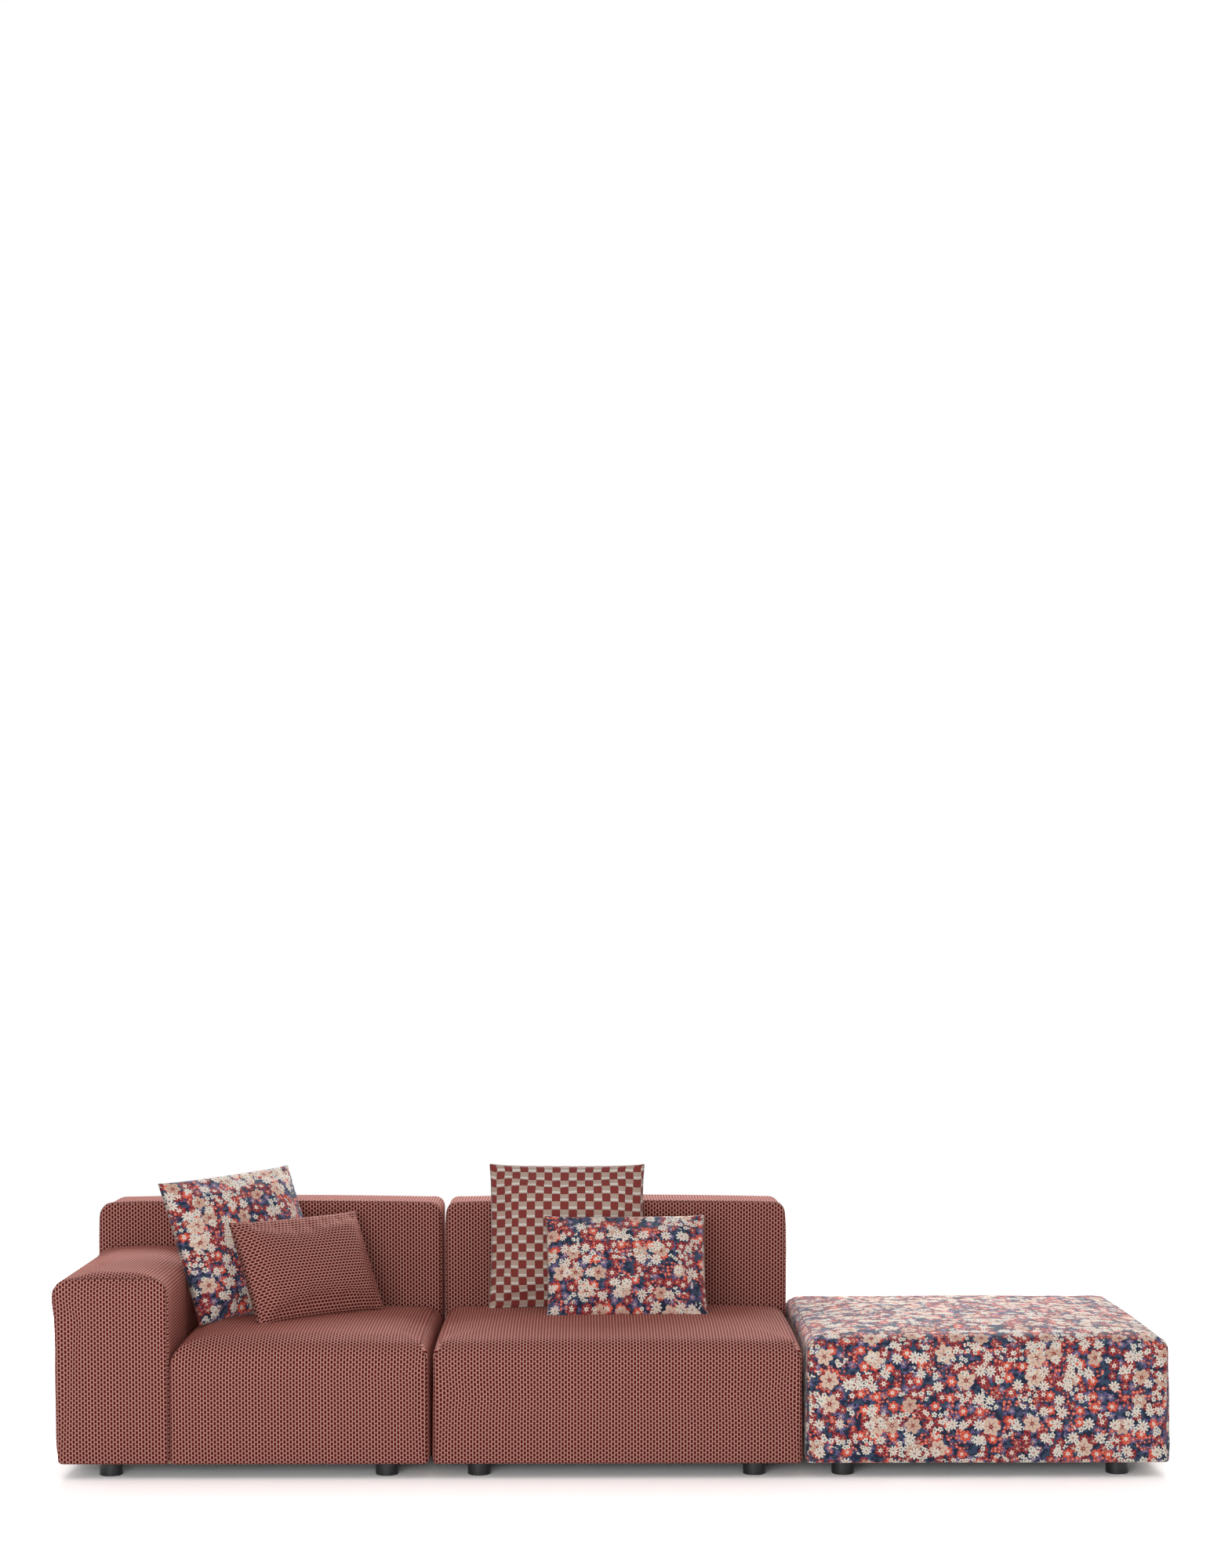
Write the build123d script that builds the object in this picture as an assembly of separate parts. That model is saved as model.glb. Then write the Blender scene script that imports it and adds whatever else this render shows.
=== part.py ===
from build123d import *
import math
import os

# A low modular sofa: a left unit with one arm, a centre unit without arms and an ottoman stand
# in a row, with four loose cushions. Lengths are in millimetres and angles in degrees. X runs
# to the right as the sofa is seen from the front, Y to the back and Z up. The origin is on the
# floor under the middle of the row.

# Units
left_width = 1000.0
centre_width = 988.0
ottoman_width = 966.0
unit_gap = 10.0
seat_depth = 695.0
back_depth = 240.0
ottoman_depth = 855.0
arm_width = 310.0
underside = 40.0
seat_height = 380.0
ottoman_height = 384.0
arm_height = 541.0
back_height = 676.0

# Upholstery
cover_wall = 2.0
cover_lip = 28.0
seat_front_radius = 46.0
seat_rear_radius = 41.0
seat_top_side_radius = 38.0
seat_upright_radius = 15.0
seat_low_end_radius = 12.0
seat_low_side_radius = 9.0
seat_crown = 12.0
seat_crown_step = 4.0
panel_edge_radius = 10.0
panel_low_radius = 12.0
panel_crown = 6.0
back_corner_radius = 34.0
back_far_radius = 50.0
arm_outer_radius = 40.0
arm_inner_radius = 48.0
side_padding = 15.0
back_padding = 70.0
arm_padding = 36.0
top_padding = 45.0
soft_clearance = 0.3

# Timber frames
rail_height = 112.0
rail_wall = 22.0
block_height = 60.0
block_margin = 34.0
rib_wall = 18.0
board_wall = 3.0
ribs_per_frame = 4
rib_end_gap = 30.0

# Webbing
strap_width = 50.0
strap_wall = 1.5
straps_across = 5
straps_deep = 4
strap_end_inset = 5.0

# Underside
dust_cloth_wall = 1.0
foot_diameter = 61.0
foot_edge_bevel = 1.5
foot_end_inset = 80.0
foot_recess_diameter = 20.0
foot_recess_depth = 24.0

# How far in from each unit's left and right edges its feet stand
left_foot_insets = (141.0, 117.0)
centre_foot_insets = (121.0, 125.0)
ottoman_foot_insets = (104.0, 120.0)

# Bolts
bolt_diameter = 8.0
bolt_clearance = 0.3
bolt_in_block = 34.0
cap_head_diameter = 13.0
cap_head_height = 8.0
cap_socket_width = 6.0
cap_socket_depth = 4.0
hex_width = 13.0
hex_head_height = 5.3
nut_height = 6.5
bolt_end = 3.0
bolts_per_junction = 2
bolts_behind_arm = 1

# Links under the gaps between the units
link_wall = 2.5
link_width = 46.0
link_grip = 42.0
tongue_reach = 30.0
tongue_taper = 6.0
tongue_drop = 0.7
tongue_play = 0.6
bridge_wall = 2.0
bridge_length = 40.0
bridge_flange = 16.0
link_spacing = 380.0

# Loose cushions: breadth, height and thickness as they stand, filled
large_cushion = (452.0, 428.0, 112.0)
check_cushion = (452.0, 418.0, 118.0)
small_cushion = (456.0, 310.0, 105.0)
cushion_cover_wall = 1.5
cushion_rim = 7.0
cushion_draw_share = 0.07
cushion_crown_step = 10.0
rest_clearance = 0.3
drop_start = 20.0
drop_rounds = 4

# Where the cushions stand: their middles from the arm or the unit's left edge, and in front of
# the backrest; then their turn, lean and roll
large_floral_place = (143.0, 206.0)
large_floral_angles = (40.8, 23.3, 3.6)
small_woven_place = (326.5, 262.5)
small_woven_angles = (43.8, 25.3, 0.2)
large_check_place = (354.0, 73.0)
large_check_angles = (-0.9, 11.1, 0.0)
small_floral_place = (523.0, 217.0)
small_floral_angles = (2.6, 29.8, 0.0)

# One overrun serves all cuts
overrun = 5.0


# Places that follow from the sizes
total_length = left_width + centre_width + ottoman_width + 2 * unit_gap
total_depth = seat_depth + back_depth
left_start = -total_length / 2
left_end = left_start + left_width
arm_end = left_start + arm_width
centre_start = left_end + unit_gap
centre_end = centre_start + centre_width
ottoman_start = centre_end + unit_gap
ottoman_end = ottoman_start + ottoman_width
front = -total_depth / 2
back_face = front + seat_depth
rear = back_face + back_depth
ottoman_rear = front + ottoman_depth
frame_low = underside + cover_wall
rail_top = frame_low + rail_height
frame_inset = cover_wall + side_padding + 2 * soft_clearance
bevel_share = 2 - math.sqrt(2)
strap_rise = (strap_wall + soft_clearance) / 2
foam_low = rail_top + strap_wall + strap_rise + soft_clearance
foot_height = frame_low - dust_cloth_wall


os.makedirs("parts", exist_ok=True)


# Plain helpers
def box(x0, x1, y0, y1, z0, z1):
    """A box between two corners."""
    return Pos((x0 + x1) / 2, (y0 + y1) / 2, (z0 + z1) / 2) * Box(x1 - x0, y1 - y0, z1 - z0)


def cylinder(x, y, z0, z1, diameter):
    """An upright cylinder."""
    return Pos(x, y, (z0 + z1) / 2) * Cylinder(diameter / 2, z1 - z0)


def spread(start, end, count):
    """The middles of equal shares of a length."""
    step = (end - start) / count
    return [start + step * (index + 0.5) for index in range(count)]


def save(name, *solids):
    """Write the solids of one piece, or of a set of like pieces, to its own file."""
    shape = solids[0] if len(solids) == 1 else Compound(list(solids))
    export_step(shape, f"parts/{name}.step")


# Upholstered blocks
def side_plane(start):
    """A plane whose sketch runs along Y and Z, to be extruded to the right."""
    return Plane(origin=(start, 0, 0), x_dir=(0, 1, 0), z_dir=(1, 0, 0))


def front_plane(end):
    """A plane whose sketch runs along X and Z, to be extruded to the front."""
    return Plane(origin=(0, end, 0), x_dir=(1, 0, 0), z_dir=(0, -1, 0))


def carried(plane, outline, length):
    """An outline on a plane, carried straight out of it."""
    return extrude(plane * outline, length, dir=plane.z_dir)


def crowned_outline(start, end, low, high, crown, low_radius, left_radius, right_radius):
    """An upright outline with rounded corners and a shallow arc for its top."""
    shoulder = high - crown
    outline = make_face(Wire([
        Line((start, low), (end, low)),
        Line((end, low), (end, shoulder)),
        ThreePointArc((end, shoulder), ((start + end) / 2, high), (start, shoulder)),
        Line((start, shoulder), (start, low)),
    ]))
    corners = outline.vertices().sort_by(Axis.Y)
    outline = fillet(corners[:2], low_radius)
    upper = outline.vertices().sort_by(Axis.Y)[-2:].sort_by(Axis.X)
    outline = fillet(upper[0], left_radius)
    upper = outline.vertices().sort_by(lambda corner: corner.X + corner.Y)[-1]
    return fillet(upper, right_radius)


def crowned_block(x0, x1, y0, y1, z1, inset):
    """A seat block: where a front view, a side view and a rounded plan meet, each carried through."""
    low = underside + inset
    high = z1 - inset
    side_radius = seat_top_side_radius - inset
    front_view = crowned_outline(
        x0 + inset, x1 - inset, low, high, seat_crown,
        seat_low_side_radius - inset, side_radius, side_radius,
    )
    side_view = crowned_outline(
        y0 + inset, y1 - inset, low, high + seat_crown_step, seat_crown,
        seat_low_end_radius - inset, seat_front_radius - inset, seat_rear_radius - inset,
    )
    plan = RectangleRounded(
        x1 - x0 - 2 * inset, y1 - y0 - 2 * inset, seat_upright_radius - inset
    )
    deep = carried(front_plane(y1 + overrun), front_view, y1 - y0 + 2 * overrun)
    across = carried(side_plane(x0 - overrun), side_view, x1 - x0 + 2 * overrun)
    upright = Pos((x0 + x1) / 2, (y0 + y1) / 2, low - overrun) * extrude(plan, z1)
    return across & deep & upright


def panelled_block(x0, x1, y0, y1, z1, left_radius, right_radius, inset):
    """A back or arm block: a front panel with rounded upper corners, carried back as boxing."""
    low = underside + inset
    radii = (panel_low_radius - inset, left_radius - inset, right_radius - inset)
    panel = crowned_outline(x0 + inset, x1 - inset, low, z1 - inset, panel_crown, *radii)
    block = carried(front_plane(y1 - inset), panel, y1 - y0 - 2 * inset)
    ends = block.faces().sort_by(Axis.Y)
    rims = ends[0].edges() + ends[-1].edges()
    if inset > 0:
        return chamfer(rims, (panel_edge_radius - inset) * bevel_share)
    return fillet(rims, panel_edge_radius)


def open_below(outer, inner, x0, x1, y0, y1):
    """A sewn cover: the block hollowed out, with a lip turned in under its frame."""
    hole = box(
        x0 + cover_lip, x1 - cover_lip, y0 + cover_lip, y1 - cover_lip,
        underside - overrun, underside + cover_wall + overrun,
    )
    return outer - inner - hole


def window(x0, x1, y0, y1):
    """The opening in hidden cover walls through which two frames meet."""
    return box(x0, x1, y0, y1, underside - overrun, rail_top + soft_clearance)


# Timber
def rails(x0, x1, y0, y1):
    """Four rails on edge: the front and back ones full length, the side ones between them."""
    inner_front = y0 + rail_wall
    inner_back = y1 - rail_wall
    return {
        "front": box(x0, x1, y0, inner_front, frame_low, rail_top),
        "back": box(x0, x1, inner_back, y1, frame_low, rail_top),
        "left": box(x0, x0 + rail_wall, inner_front, inner_back, frame_low, rail_top),
        "right": box(x1 - rail_wall, x1, inner_front, inner_back, frame_low, rail_top),
    }


def corner_block(foot, frame, side_x, side_y):
    """A block in a frame's corner, from the rails' inner faces to past the foot's bolt."""
    x0, x1, y0, y1 = frame
    ends_x = (x0 + rail_wall, foot[0] + block_margin)
    ends_y = (y0 + rail_wall, foot[1] + block_margin)
    if side_x > 0:
        ends_x = (foot[0] - block_margin, x1 - rail_wall)
    if side_y > 0:
        ends_y = (foot[1] - block_margin, y1 - rail_wall)
    block = box(*ends_x, *ends_y, frame_low, frame_low + block_height)
    depth = bolt_in_block + bolt_end
    drill = bolt_diameter + 2 * bolt_clearance
    return block - cylinder(*foot, frame_low - overrun, frame_low + depth, drill)


# Webbing
def strap_outline(start, end, crossings, rise_first):
    """The side view of a strap that runs over and under the straps that it crosses."""
    level = rail_top + strap_wall / 2
    half = strap_width / 2 + strap_wall
    line = [(start, level), (start + rail_wall, level)]
    sign = 1 if rise_first else -1
    for place in crossings:
        line += [(place - half, level + sign * strap_rise), (place + half, level + sign * strap_rise)]
        sign = -sign
    line += [(end - rail_wall, level), (end, level)]
    upper = [(run, height + strap_wall / 2) for run, height in line]
    lower = [(run, height - strap_wall / 2) for run, height in reversed(line)]
    return upper + lower


def webbing(x0, x1, y0, y1):
    """Elastic straps stapled to the rails' tops and laced over and under each other."""
    across = spread(x0 + rail_wall, x1 - rail_wall, straps_across)
    deep = spread(y0 + rail_wall, y1 - rail_wall, straps_deep)
    half = strap_width / 2
    ends_x = (x0 + strap_end_inset, x1 - strap_end_inset)
    ends_y = (y0 + strap_end_inset, y1 - strap_end_inset)
    straps = []
    for index, y in enumerate(deep):
        side = make_face(Polyline(*strap_outline(*ends_x, across, index % 2 == 0), close=True))
        straps.append(carried(front_plane(y + half), side, strap_width))
    for index, x in enumerate(across):
        side = make_face(Polyline(*strap_outline(*ends_y, deep, index % 2 == 1), close=True))
        straps.append(carried(side_plane(x - half), side, strap_width))
    return straps


# Feet and bolts
def foot(place):
    """A moulded cylinder with a broken lower edge, recessed for its bolt's head."""
    body = cylinder(*place, 0, foot_height, foot_diameter)
    rim = body.faces().sort_by(Axis.Z)[0].edges()
    body = chamfer(rim, foot_edge_bevel)
    recess = cylinder(*place, -overrun, foot_recess_depth, foot_recess_diameter)
    drill = bolt_diameter + 2 * bolt_clearance
    return body - recess - cylinder(*place, 0, foot_height + overrun, drill)


def foot_bolt(place):
    """A cap screw up through the foot into its corner block."""
    seat = foot_recess_depth
    head = cylinder(*place, seat - cap_head_height, seat, cap_head_diameter)
    shank = cylinder(*place, seat, frame_low + bolt_in_block, bolt_diameter)
    across_corners = cap_socket_width / math.cos(math.pi / 6)
    hexagon = RegularPolygon(across_corners / 2, 6)
    socket = Pos(*place, seat - cap_head_height) * extrude(hexagon, cap_socket_depth)
    return head + shank - socket


def joining_bolt(start, along):
    """A hexagon bolt and nut across two rails that meet face to face."""
    corner_radius = hex_width / 2 / math.cos(math.pi / 6)
    grip = 2 * rail_wall
    flat = RegularPolygon(corner_radius, 6)
    head = Pos(0, 0, -hex_head_height) * extrude(flat, hex_head_height)
    shank = extrude(Circle(bolt_diameter / 2), grip + nut_height + bolt_end)
    nut = Pos(0, 0, grip) * extrude(flat, nut_height)
    return Plane(origin=start, z_dir=along) * (head + shank + nut)


def drill_along(start, along):
    """The hole for a joining bolt."""
    hole = extrude(Circle(bolt_diameter / 2 + bolt_clearance), 2 * (rail_wall + overrun))
    return Plane(origin=start, z_dir=along) * (Pos(0, 0, -overrun) * hole)


# Links
def tongue(edge, y):
    """A joggled plate under a unit's left edge that reaches across the gap."""
    top = underside
    low = underside - tongue_drop
    tip = edge - unit_gap - tongue_reach
    line = [
        (edge + link_grip, top), (edge, top), (edge - unit_gap / 2, low),
        (tip, low), (tip, low - link_wall / 2), (tip + tongue_taper, low - link_wall),
        (edge - unit_gap / 2, low - link_wall), (edge, top - link_wall),
        (edge + link_grip, top - link_wall),
    ]
    side = make_face(Polyline(*line, close=True))
    return carried(front_plane(y + link_width / 2), side, link_width)


def pocket(edge, y):
    """A bridge under the neighbour's right edge, which holds the tongue up from below."""
    slot = link_width / 2 + tongue_play
    wide = slot + bridge_wall
    bridge = underside - tongue_drop - link_wall - tongue_play
    low = bridge - bridge_wall
    flange = underside - bridge_wall
    half = [(wide + bridge_flange, underside), (slot, underside), (slot, bridge)]
    other = [(-run, height) for run, height in reversed(half)]
    skirt = [(-wide - bridge_flange, flange), (-wide, flange), (-wide, low)]
    return_skirt = [(-run, height) for run, height in reversed(skirt)]
    outline = make_face(Polyline(*(half + other + skirt + return_skirt), close=True))
    return carried(side_plane(edge - bridge_length), Pos(y, 0) * outline, bridge_length)


# Cushions
def crossing(span, rise, rim):
    """A cushion cut across: two shallow arcs that nearly meet at the seam."""
    half = span / 2
    edge = rim / 2
    return make_face(Wire([
        ThreePointArc((-half, -edge), (0, -rise), (half, -edge)),
        Line((half, -edge), (half, edge)),
        ThreePointArc((half, edge), (0, rise), (-half, edge)),
        Line((-half, edge), (-half, -edge)),
    ]))


def drawn_outline(breadth, height):
    """A cushion's outline, its four sides drawn in between pointed corners."""
    x = breadth / 2
    z = height / 2
    kept = 1 - cushion_draw_share
    return make_face(Wire([
        ThreePointArc((-x, -z), (0, -z * kept), (x, -z)),
        ThreePointArc((x, -z), (x * kept, 0), (x, z)),
        ThreePointArc((x, z), (0, z * kept), (-x, z)),
        ThreePointArc((-x, z), (-x * kept, 0), (-x, -z)),
    ]))


def filled_cushion(size, inset):
    """A crowned cushion: where its two crossings and its outline meet, each carried through."""
    breadth, height, thick = (length - 2 * inset for length in size)
    rim = cushion_rim - 2 * inset
    level = crossing(breadth, thick / 2, rim)
    upright = crossing(height, (thick + cushion_crown_step) / 2, rim)
    outline = drawn_outline(breadth, height)
    deep = extrude(level, height / 2 + overrun, both=True)
    across = extrude(Plane.YZ * Rot(0, 0, 90) * upright, breadth / 2 + overrun, both=True)
    through = extrude(Plane.XZ * outline, thick, both=True)
    return deep & across & through


def dropped(shape, seat):
    """Let a cushion down onto a seat until only the rest clearance is left."""
    shape = Pos(0, 0, seat_height + drop_start - shape.bounding_box().min.Z) * shape
    for _ in range(drop_rounds):
        shape = Pos(0, 0, rest_clearance - shape.distance_to(seat)) * shape
    return shape


def cushion(name, size, unit_edge, from_edges, angles, seat):
    """A loose cushion: its sewn cover and the filling inside it."""
    turn, lean, roll = angles
    middle = Pos(unit_edge + from_edges[0], back_face - from_edges[1], 0)
    place = middle * Rot(0, 0, turn) * Rot(-lean, 0, 0) * Rot(0, -roll, 0)
    body = filled_cushion(size, 0)
    hollow = filled_cushion(size, cushion_cover_wall)
    filling = filled_cushion(size, cushion_cover_wall + soft_clearance)
    stood = place * body
    resting = dropped(stood, seat)
    rise = resting.bounding_box().min.Z - stood.bounding_box().min.Z
    place = Pos(0, 0, rise) * place
    save(name, place * (body - hollow))
    save(f"{name}_filling", place * filling)


# The upholstered blocks of the units
def seat_cover(x0, x1, y1, height, arm_side, back_side):
    """A seat cover, with windows where an arm's or a back's frame joins its own."""
    outer = crowned_block(x0, x1, front, y1, height, 0)
    inner = crowned_block(x0, x1, front, y1, height, cover_wall)
    cover = open_below(outer, inner, x0, x1, front, y1)
    inner_x0 = x0 + (0 if arm_side else frame_inset)
    if arm_side:
        cover -= window(x0 - overrun, x0 + cover_lip + overrun, front + frame_inset, y1 + overrun)
    if back_side:
        cover -= window(inner_x0, x1 - frame_inset, y1 - cover_lip - overrun, y1 + overrun)
    return cover


def seat_foam(x0, x1, y1, height):
    """The thick seat foam, down to the webbing."""
    body = crowned_block(x0, x1, front, y1, height, cover_wall + soft_clearance)
    return body & box(x0, x1, front, y1, foam_low, height + overrun)


def seat_border(x0, x1, y1, height, frame):
    """The padding between the cover and the outer faces of the rails."""
    body = crowned_block(x0, x1, front, y1, height, cover_wall + soft_clearance)
    band = box(x0, x1, front, y1, frame_low, foam_low - soft_clearance)
    fx0, fx1, fy0, fy1 = frame
    cut_x0 = fx0 - (soft_clearance if fx0 > x0 else overrun)
    cut_y1 = fy1 + (soft_clearance if fy1 < y1 else overrun)
    hollow = box(cut_x0, fx1 + soft_clearance, fy0 - soft_clearance, cut_y1, underside, foam_low)
    return (body & band) - hollow


def seat_frame(x0, x1, y1, arm_side, back_side):
    """The outer limits of a seat's frame: flush where it meets another frame, else inset."""
    return (
        x0 + (0 if arm_side else frame_inset),
        x1 - frame_inset,
        front + frame_inset,
        y1 - (0 if back_side else frame_inset),
    )


def seat_block(name, x0, x1, y1, height, arm_side, back_side, bolts):
    """One seat: cover, foam, border padding, webbing and rails."""
    frame = seat_frame(x0, x1, y1, arm_side, back_side)
    cover = seat_cover(x0, x1, y1, height, arm_side, back_side)
    timbers = [rail for rail in rails(*frame).values()]
    drilled = [rail - [drill_along(*bolt) for bolt in bolts] if bolts else rail for rail in timbers]
    save(f"{name}_seat_cover", cover)
    save(f"{name}_seat_foam", seat_foam(x0, x1, y1, height))
    save(f"{name}_seat_border", seat_border(x0, x1, y1, height, frame))
    save(f"{name}_seat_webbing", *webbing(*frame))
    save(f"{name}_seat_rails", *drilled)
    return cover


def back_block(name, x0, x1, left_radius, right_radius, bolts):
    """One backrest: cover, foam, base rails, plywood ribs and boards."""
    frame = (x0 + frame_inset, x1 - frame_inset, back_face, rear - frame_inset)
    outer = panelled_block(x0, x1, back_face, rear, back_height, left_radius, right_radius, 0)
    inner = panelled_block(
        x0, x1, back_face, rear, back_height, left_radius, right_radius, cover_wall
    )
    cover = open_below(outer, inner, x0, x1, back_face, rear)
    cover -= window(frame[0], frame[1], back_face - overrun, back_face + cover_lip + overrun)
    rib_front = back_face + back_padding
    rib_rear = frame[3] - board_wall
    rib_top = back_height - top_padding
    lower_rib = frame_low + block_height
    rib_margin = rail_wall + rib_end_gap
    inner_ends = (frame[0] + rib_margin, frame[1] - rib_margin - rib_wall)
    step = (inner_ends[1] - inner_ends[0]) / (ribs_per_frame - 1)
    ribs = []
    for index in range(ribs_per_frame):
        x = inner_ends[0] + step * index
        foot_part = box(
            x, x + rib_wall, back_face + rail_wall, frame[3] - rail_wall, lower_rib, rail_top
        )
        ribs.append(foot_part + box(x, x + rib_wall, rib_front, rib_rear, rail_top, rib_top))
    board_ends = (frame[0] + rail_wall, frame[1] - rail_wall)
    boards = [
        box(*board_ends, rib_front - board_wall, frame[3], rib_top, rib_top + rib_wall),
        box(*board_ends, rib_front - board_wall, rib_front, foam_low, rib_top),
        box(*board_ends, rib_rear, frame[3], rail_top, rib_top),
    ]
    body = panelled_block(
        x0, x1, back_face, rear, back_height, left_radius, right_radius,
        cover_wall + soft_clearance,
    )
    gap = soft_clearance
    base = box(
        frame[0] - gap, frame[1] + gap, back_face - overrun, frame[3] + gap, underside,
        rail_top + gap,
    )
    upper = box(
        board_ends[0] - gap, board_ends[1] + gap, rib_front - board_wall - gap, frame[3] + gap,
        underside, rib_top + rib_wall + gap,
    )
    foam = body - box(x0, x1, back_face, rear, underside, frame_low) - base - upper
    timbers = rails(*frame).values()
    save(f"{name}_back_cover", cover)
    save(f"{name}_back_foam", foam)
    save(f"{name}_back_ribs", *ribs)
    save(f"{name}_back_boards", *boards)
    save(f"{name}_back_rails", *[rail - [drill_along(*bolt) for bolt in bolts] for rail in timbers])


def arm_block(bolts):
    """The left unit's arm: cover, foam, base rails, plywood ribs and boards."""
    frame = (left_start + frame_inset, arm_end, front + frame_inset, back_face)
    sizes = (left_start, arm_end, front, back_face, arm_height, arm_outer_radius, arm_inner_radius)
    outer = panelled_block(*sizes, 0)
    inner = panelled_block(*sizes, cover_wall)
    cover = open_below(outer, inner, left_start, arm_end, front, back_face)
    cover -= window(arm_end - cover_lip - overrun, arm_end + overrun, frame[2], back_face + overrun)
    cover -= window(frame[0], arm_end + overrun, back_face - cover_lip - overrun, back_face + overrun)
    rib_left = frame[0] + board_wall
    rib_right = arm_end - arm_padding
    rib_top = arm_height - top_padding
    lower_rib = frame_low + block_height
    rib_margin = rail_wall + rib_end_gap
    inner_ends = (frame[2] + rib_margin, back_face - rib_margin - rib_wall)
    step = (inner_ends[1] - inner_ends[0]) / (ribs_per_frame - 1)
    ribs = []
    for index in range(ribs_per_frame):
        y = inner_ends[0] + step * index
        foot_part = box(
            frame[0] + rail_wall, arm_end - rail_wall, y, y + rib_wall, lower_rib, rail_top
        )
        ribs.append(foot_part + box(rib_left, rib_right, y, y + rib_wall, rail_top, rib_top))
    board_ends = (frame[2] + rail_wall, back_face - rail_wall)
    boards = [
        box(frame[0], rib_right + board_wall, *board_ends, rib_top, rib_top + rib_wall),
        box(frame[0], rib_left, *board_ends, rail_top, rib_top),
        box(rib_right, rib_right + board_wall, *board_ends, foam_low, rib_top),
    ]
    body = panelled_block(*sizes, cover_wall + soft_clearance)
    gap = soft_clearance
    base = box(
        frame[0] - gap, arm_end + overrun, frame[2] - gap, back_face + overrun, underside,
        rail_top + gap,
    )
    upper = box(
        frame[0] - gap, rib_right + board_wall + gap, board_ends[0] - gap, board_ends[1] + gap,
        underside, rib_top + rib_wall + gap,
    )
    foam = body - box(left_start, arm_end, front, back_face, underside, frame_low) - base - upper
    timbers = rails(*frame).values()
    save("left_arm_cover", cover)
    save("left_arm_foam", foam)
    save("left_arm_ribs", *ribs)
    save("left_arm_boards", *boards)
    save("left_arm_rails", *[rail - [drill_along(*bolt) for bolt in bolts] for rail in timbers])


def underside_set(name, x0, x1, y1, foot_insets, frames):
    """A unit's feet, their bolts and corner blocks, and the dust cloth under its rails."""
    xs = (x0 + foot_insets[0], x1 - foot_insets[1])
    ys = (front + foot_end_inset, y1 - foot_end_inset)
    places = [(x, y) for y in ys for x in xs]
    sides = [(side_x, side_y) for side_y in (-1, 1) for side_x in (-1, 1)]
    blocks = [
        corner_block(place, frame, *side) for place, frame, side in zip(places, frames, sides)
    ]
    edge = cover_lip + soft_clearance
    cloth = box(x0 + edge, x1 - edge, front + edge, y1 - edge, foot_height, frame_low)
    for place in places:
        cloth -= cylinder(*place, underside, frame_low + overrun, bolt_diameter + 2 * bolt_clearance)
    save(f"{name}_feet", *[foot(place) for place in places])
    save(f"{name}_foot_bolts", *[foot_bolt(place) for place in places])
    save(f"{name}_corner_blocks", *blocks)
    save(f"{name}_dust_cloth", cloth)


# Bolts through the junctions of the frames
bolt_height = frame_low + rail_height / 2


def back_bolts(x0, x1, count):
    """Bolts from a seat's or an arm's back rail into the backrest's front rail."""
    places = spread(x0 + frame_inset, x1 - frame_inset, count)
    return [((x, back_face - rail_wall, bolt_height), (0, 1, 0)) for x in places]


centre_bolts = back_bolts(centre_start, centre_end, bolts_per_junction)
seat_to_back_bolts = back_bolts(arm_end, left_end, bolts_per_junction)
left_back_bolts = seat_to_back_bolts + back_bolts(left_start, arm_end, bolts_behind_arm)
arm_bolts = [
    ((arm_end - rail_wall, y, bolt_height), (1, 0, 0))
    for y in spread(front, back_face, bolts_per_junction)
]

# The three units
left_seat = seat_block(
    "left", arm_end, left_end, back_face, seat_height, True, True, left_back_bolts + arm_bolts
)
centre_seat = seat_block(
    "centre", centre_start, centre_end, back_face, seat_height, False, True, centre_bolts
)
seat_block("ottoman", ottoman_start, ottoman_end, ottoman_rear, ottoman_height, False, False, [])
back_block("left", left_start, left_end, back_far_radius, back_corner_radius, left_back_bolts)
back_block("centre", centre_start, centre_end, back_corner_radius, back_corner_radius, centre_bolts)
arm_block(arm_bolts + left_back_bolts)
save("left_joining_bolts", *[joining_bolt(*bolt) for bolt in left_back_bolts + arm_bolts])
save("centre_joining_bolts", *[joining_bolt(*bolt) for bolt in centre_bolts])

left_frame = seat_frame(arm_end, left_end, back_face, True, True)
arm_frame = (left_start + frame_inset, arm_end, front + frame_inset, back_face)
left_back_frame = (left_start + frame_inset, left_end - frame_inset, back_face, rear - frame_inset)
centre_frame = seat_frame(centre_start, centre_end, back_face, False, True)
centre_back_frame = (
    centre_start + frame_inset, centre_end - frame_inset, back_face, rear - frame_inset
)
ottoman_frame = seat_frame(ottoman_start, ottoman_end, ottoman_rear, False, False)
underside_set(
    "left", left_start, left_end, rear, left_foot_insets,
    (arm_frame, left_frame, left_back_frame, left_back_frame),
)
underside_set(
    "centre", centre_start, centre_end, rear, centre_foot_insets,
    (centre_frame, centre_frame, centre_back_frame, centre_back_frame),
)
underside_set(
    "ottoman", ottoman_start, ottoman_end, ottoman_rear, ottoman_foot_insets, (ottoman_frame,) * 4
)

link_middle = (front + back_face) / 2
link_places = (link_middle - link_spacing / 2, link_middle + link_spacing / 2)
save("left_link_pockets", *[pocket(left_end, y) for y in link_places])
save("centre_link_tongues", *[tongue(centre_start, y) for y in link_places])
save("centre_link_pockets", *[pocket(centre_end, y) for y in link_places])
save("ottoman_link_tongues", *[tongue(ottoman_start, y) for y in link_places])

# The loose cushions
cushion(
    "large_floral_cushion", large_cushion, arm_end, large_floral_place, large_floral_angles,
    left_seat,
)
cushion(
    "small_woven_cushion", small_cushion, arm_end, small_woven_place, small_woven_angles,
    left_seat,
)
cushion(
    "large_check_cushion", check_cushion, centre_start, large_check_place, large_check_angles,
    centre_seat,
)
cushion(
    "small_floral_cushion", small_cushion, centre_start, small_floral_place, small_floral_angles,
    centre_seat,
)
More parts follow.
